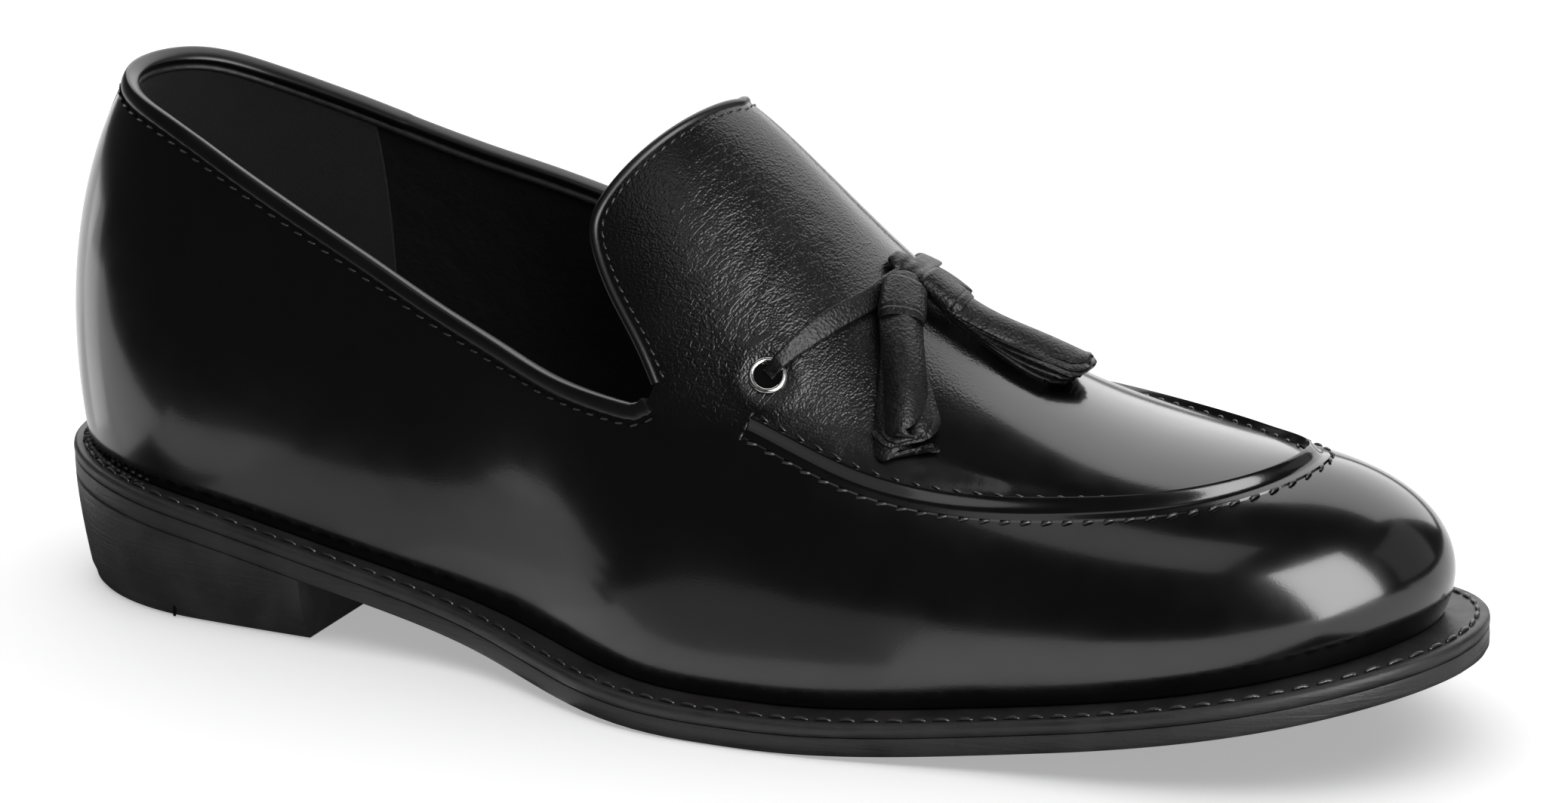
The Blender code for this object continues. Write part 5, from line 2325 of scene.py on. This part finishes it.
    def rand_beads(self) -> None:
        """Piles the knobbly stitches of the rand round the back of the heel."""
        chance = np.random.default_rng(self.bead_seed)
        u = np.linspace(0.5 - self.bead_span, 0.5 + self.bead_span, self.bead_points)
        up = np.tile([0.0, 0.0, 1.0], (len(u), 1))
        shaken, least, most = self.bead_tip_chance, 1 - self.bead_size_chance, 1 + self.bead_size_chance
        heap = []
        for row in BEAD_ROWS:
            run = Run(self.loop(u, LAST.welt_top, 1.0, -row.inset), up).shifted(0.0, row.rise * 0.5)
            run = run.spaced(row.pitch)
            count = len(run.points)
            turn = self.bead_turn + chance.uniform(-self.bead_turn_chance, self.bead_turn_chance, count)
            matrices = frames_on(run, turn, chance.uniform(-shaken, shaken, count))
            fade = 1.1 - 0.7 * smooth_step(np.abs(np.linspace(-1, 1, count)), 0.35, 1.0)
            matrices[:, :3, :3] *= (fade * chance.uniform(least, most, count))[:, None, None]
            heap.append(matrices)
        bead = thread_stitch(self.bead_length, self.bead_thickness, self.bead_bow, self.bead_twist)
        self.wardrobe.dress(copies("rand_beads", bead, np.concatenate(heap)), MattLining())

    def sock(self) -> None:
        """Builds the insole with its sock."""
        inset = self.sock_inset
        sections = ((0.0, -inset), (0.7, -inset), (1.0, -self.sock_round - inset))

        def low(x: Array) -> Array:
            """Returns the height of the insole's underside."""
            return LAST.welt_top(x) + self.sock_gap

        slab = self.slab("insole_sock", sections, low, lambda x: low(x) + self.sock_thickness, 0.0)
        self.wardrobe.dress(slab, MattLining(), "insole")

    def welt_stitches(self) -> None:
        """Lays the stitches round the welt."""
        u = np.linspace(0, 1, self.seam_points)
        spots = self.loop(u, LAST.welt_top, 1.0, -self.seam_inset)
        run = Run(spots, np.tile([0.0, 0.0, 1.0], (len(u), 1))).shifted(0.0, self.seam_lift)
        self.wardrobe.dress(sewn(self.seam, run), WaxedThread())


class Seen(Enum):
    """What a lamp does: light things, or show as a reflection."""

    LIGHT = "light"
    GLOSS = "gloss"


class Lamp(NamedTuple):
    """A soft lamp by its direction from the shoe, in degrees, with its size and its brightness."""

    name: str
    azimuth: float
    elevation: float
    distance: float
    width: float
    height: float
    lean: float
    radiance: float
    seen: Seen


LAMPS = (
    Lamp("key_window", -40, 20, 1.00, 0.62, 1.08, 20, 7.5, Seen.GLOSS),
    Lamp("back_wall", 107, 42, 1.30, 2.10, 1.90, 0, 2.1, Seen.GLOSS),
    Lamp("tongue_window", -104, 53, 1.00, 0.45, 0.42, 0, 0.75, Seen.GLOSS),
    Lamp("heel_strip", 176, -9, 0.80, 0.22, 0.26, 0, 0.8, Seen.GLOSS),
    Lamp("right_wall", 22, 26, 1.40, 1.30, 1.10, 0, 0.35, Seen.GLOSS),
    Lamp("overhead", 95, 82, 1.60, 3.20, 3.20, 0, 1.35, Seen.LIGHT),
)


class TablePatch(NamedTuple):
    """A bright stretch of the table top round the shoe, with its brightness."""

    name: str
    back: float
    front: float
    near: float
    far: float
    radiance: float


TABLE_PATCHES = (
    TablePatch("heel_back", -0.60, -0.190, -0.100, -0.040, 1.0),
    TablePatch("heel_corner", -0.190, -0.140, -0.112, -0.076, 0.75),
    TablePatch("heel_side", -0.140, -0.100, -0.106, -0.062, 0.55),
    TablePatch("heel_breast", -0.100, -0.082, -0.088, -0.052, 0.55),
    TablePatch("waist_back", -0.084, -0.060, -0.072, -0.040, 0.66),
    TablePatch("waist_middle", -0.062, -0.036, -0.080, -0.036, 0.80),
    TablePatch("waist_front", -0.038, -0.018, -0.080, -0.044, 0.90),
    TablePatch("ball", -0.018, 0.045, -0.080, -0.054, 0.95),
    TablePatch("waist_haze", -0.074, 0.045, -0.250, -0.080, 0.34),
    TablePatch("near_toe", 0.045, 0.60, -0.190, -0.060, 1.1),
    TablePatch("past_toe", 0.170, 0.60, -0.060, 0.060, 1.1),
    TablePatch("past_heel", -0.60, -0.190, -0.040, 0.060, 0.8),
    TablePatch("far_side", -1.40, 1.40, 0.060, 3.000, 1.0),
)


@dataclass
class Studio:
    """Pale floor, soft lights and the camera at the photograph's angle."""

    azimuth: float = 27.03
    elevation: float = 18.35
    roll: float = -1.64
    distance: float = 1168.56 * MM
    focal_pixels: float = 7959.22
    picture_width: float = 2077.0
    target: tuple[float, float, float] = (150.2 * MM, 2.26 * MM, 40 * MM)
    offset: tuple[float, float] = (3.63 * MM, 8.96 * MM)
    sensor: float = 36.0
    clip_end: float = 50.0
    floor_size: float = 12.0
    floor_height: float = -0.2 * MM
    floor_colour: tuple[float, float, float] = (0.93, 0.93, 0.93)
    floor_roughness: float = 0.9
    floor_glow: float = 0.38
    room: float = 0.04
    lamp_aim: tuple[float, float, float] = (60 * MM, 0.0, 50 * MM)
    table_lift: float = 0.15 * MM

    def build(self) -> None:
        """Sets the floor, the world, the lights and the camera."""
        bpy.context.scene.view_settings.view_transform = "Standard"
        self.floor()
        self.world()
        for row in LAMPS:
            self.lamp(row)
        self.table_shine()
        self.camera()

    def axes(self) -> tuple[Vector, Vector, Vector]:
        """Returns the camera's right, up and backward directions.

        Returns:
            The three directions.
        """
        a, e, r = np.radians([self.azimuth, self.elevation, self.roll])
        back = Vector((np.sin(a) * np.cos(e), -np.cos(a) * np.cos(e), np.sin(e)))
        right = Vector((np.cos(a), np.sin(a), 0))
        up = back.cross(right)
        return right * np.cos(r) + up * np.sin(r), up * np.cos(r) - right * np.sin(r), back

    def camera(self) -> None:
        """Places the camera."""
        right, up, back = self.axes()
        data = bpy.data.cameras.new("view")
        data.sensor_width = self.sensor
        data.lens = self.focal_pixels / self.picture_width * self.sensor
        data.clip_end = self.clip_end
        camera = bpy.data.objects.new("view", data)
        bpy.context.scene.collection.objects.link(camera)
        place = Vector(self.target) - Vector(LAST.origin) + back * self.distance
        place += right * self.offset[0] + up * self.offset[1]
        camera.matrix_world = Matrix.Translation(place) @ Matrix((right, up, back)).transposed().to_4x4()
        bpy.context.scene.camera = camera

    def floor(self) -> None:
        """Lays the pale floor, whose shine on the shoe comes from table_shine."""
        deselect()
        bpy.ops.mesh.primitive_plane_add(size=self.floor_size, location=(0, 0, self.floor_height))
        floor = named("studio_floor")
        finish = Shader("pale_floor", self.floor_colour, self.floor_roughness,
                        emission_strength=self.floor_glow)
        floor.data.materials.append(finish.material)
        floor.visible_glossy = False

    def world(self) -> None:
        """Fills the room with very dim even light."""
        world = bpy.data.worlds.new("room")
        world.use_nodes = True
        background = world.node_tree.nodes["Background"]
        background.inputs["Color"].default_value = (1, 1, 1, 1)
        background.inputs["Strength"].default_value = self.room
        bpy.context.scene.world = world

    def area_light(self, name: str, size: tuple[float, float], radiance: float, seen: Seen,
                   matrix: Matrix) -> None:
        """Hangs a rectangular lamp of this radiance.

        Args:
            name: Its name.
            size: Its width and height.
            radiance: Its brightness, where a white floor in full light is about one.
            seen: What it does.
            matrix: Its place, shining along its own -Z.
        """
        data = bpy.data.lights.new(name, "AREA")
        data.shape = "RECTANGLE"
        data.size, data.size_y = size
        data.energy = radiance * np.pi * size[0] * size[1]
        light = bpy.data.objects.new(name, data)
        light.matrix_world = matrix
        light.visible_camera = False
        light.visible_diffuse = seen is Seen.LIGHT
        light.visible_glossy = seen is Seen.GLOSS
        bpy.context.scene.collection.objects.link(light)

    def lamp(self, row: Lamp) -> None:
        """Hangs one lamp of the table, looking at the shoe.

        Args:
            row: The lamp's row.
        """
        a, e = np.radians([row.azimuth, row.elevation])
        away = Vector((np.cos(a) * np.cos(e), np.sin(a) * np.cos(e), np.sin(e)))
        turn = away.to_track_quat("Z", "Y").to_matrix() @ Matrix.Rotation(np.radians(row.lean), 3, "Z")
        place = Matrix.Translation(Vector(self.lamp_aim) + away * row.distance)
        self.area_light(row.name, (row.width, row.height), row.radiance, row.seen, place @ turn.to_4x4())

    def table_shine(self) -> None:
        """Lays the bright stretches of the table top that the polished leather mirrors."""
        for row in TABLE_PATCHES:
            middle = ((row.back + row.front) / 2, (row.near + row.far) / 2, self.table_lift)
            size = (row.front - row.back, row.far - row.near)
            self.area_light(f"table_{row.name}", size, row.radiance, Seen.GLOSS,
                            Matrix.Translation(middle) @ Matrix.Rotation(np.pi, 4, "X"))


def main() -> None:
    """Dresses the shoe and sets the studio."""
    logging.basicConfig(level=logging.INFO, format="%(name)s %(message)s")
    wardrobe = Wardrobe()
    Studio().build()
    Sole(wardrobe).build()
    Upper(wardrobe).build()
    Apron(wardrobe).build()
    Tassels(wardrobe).build()
    deselect()


if __name__ == "__main__":
    main()
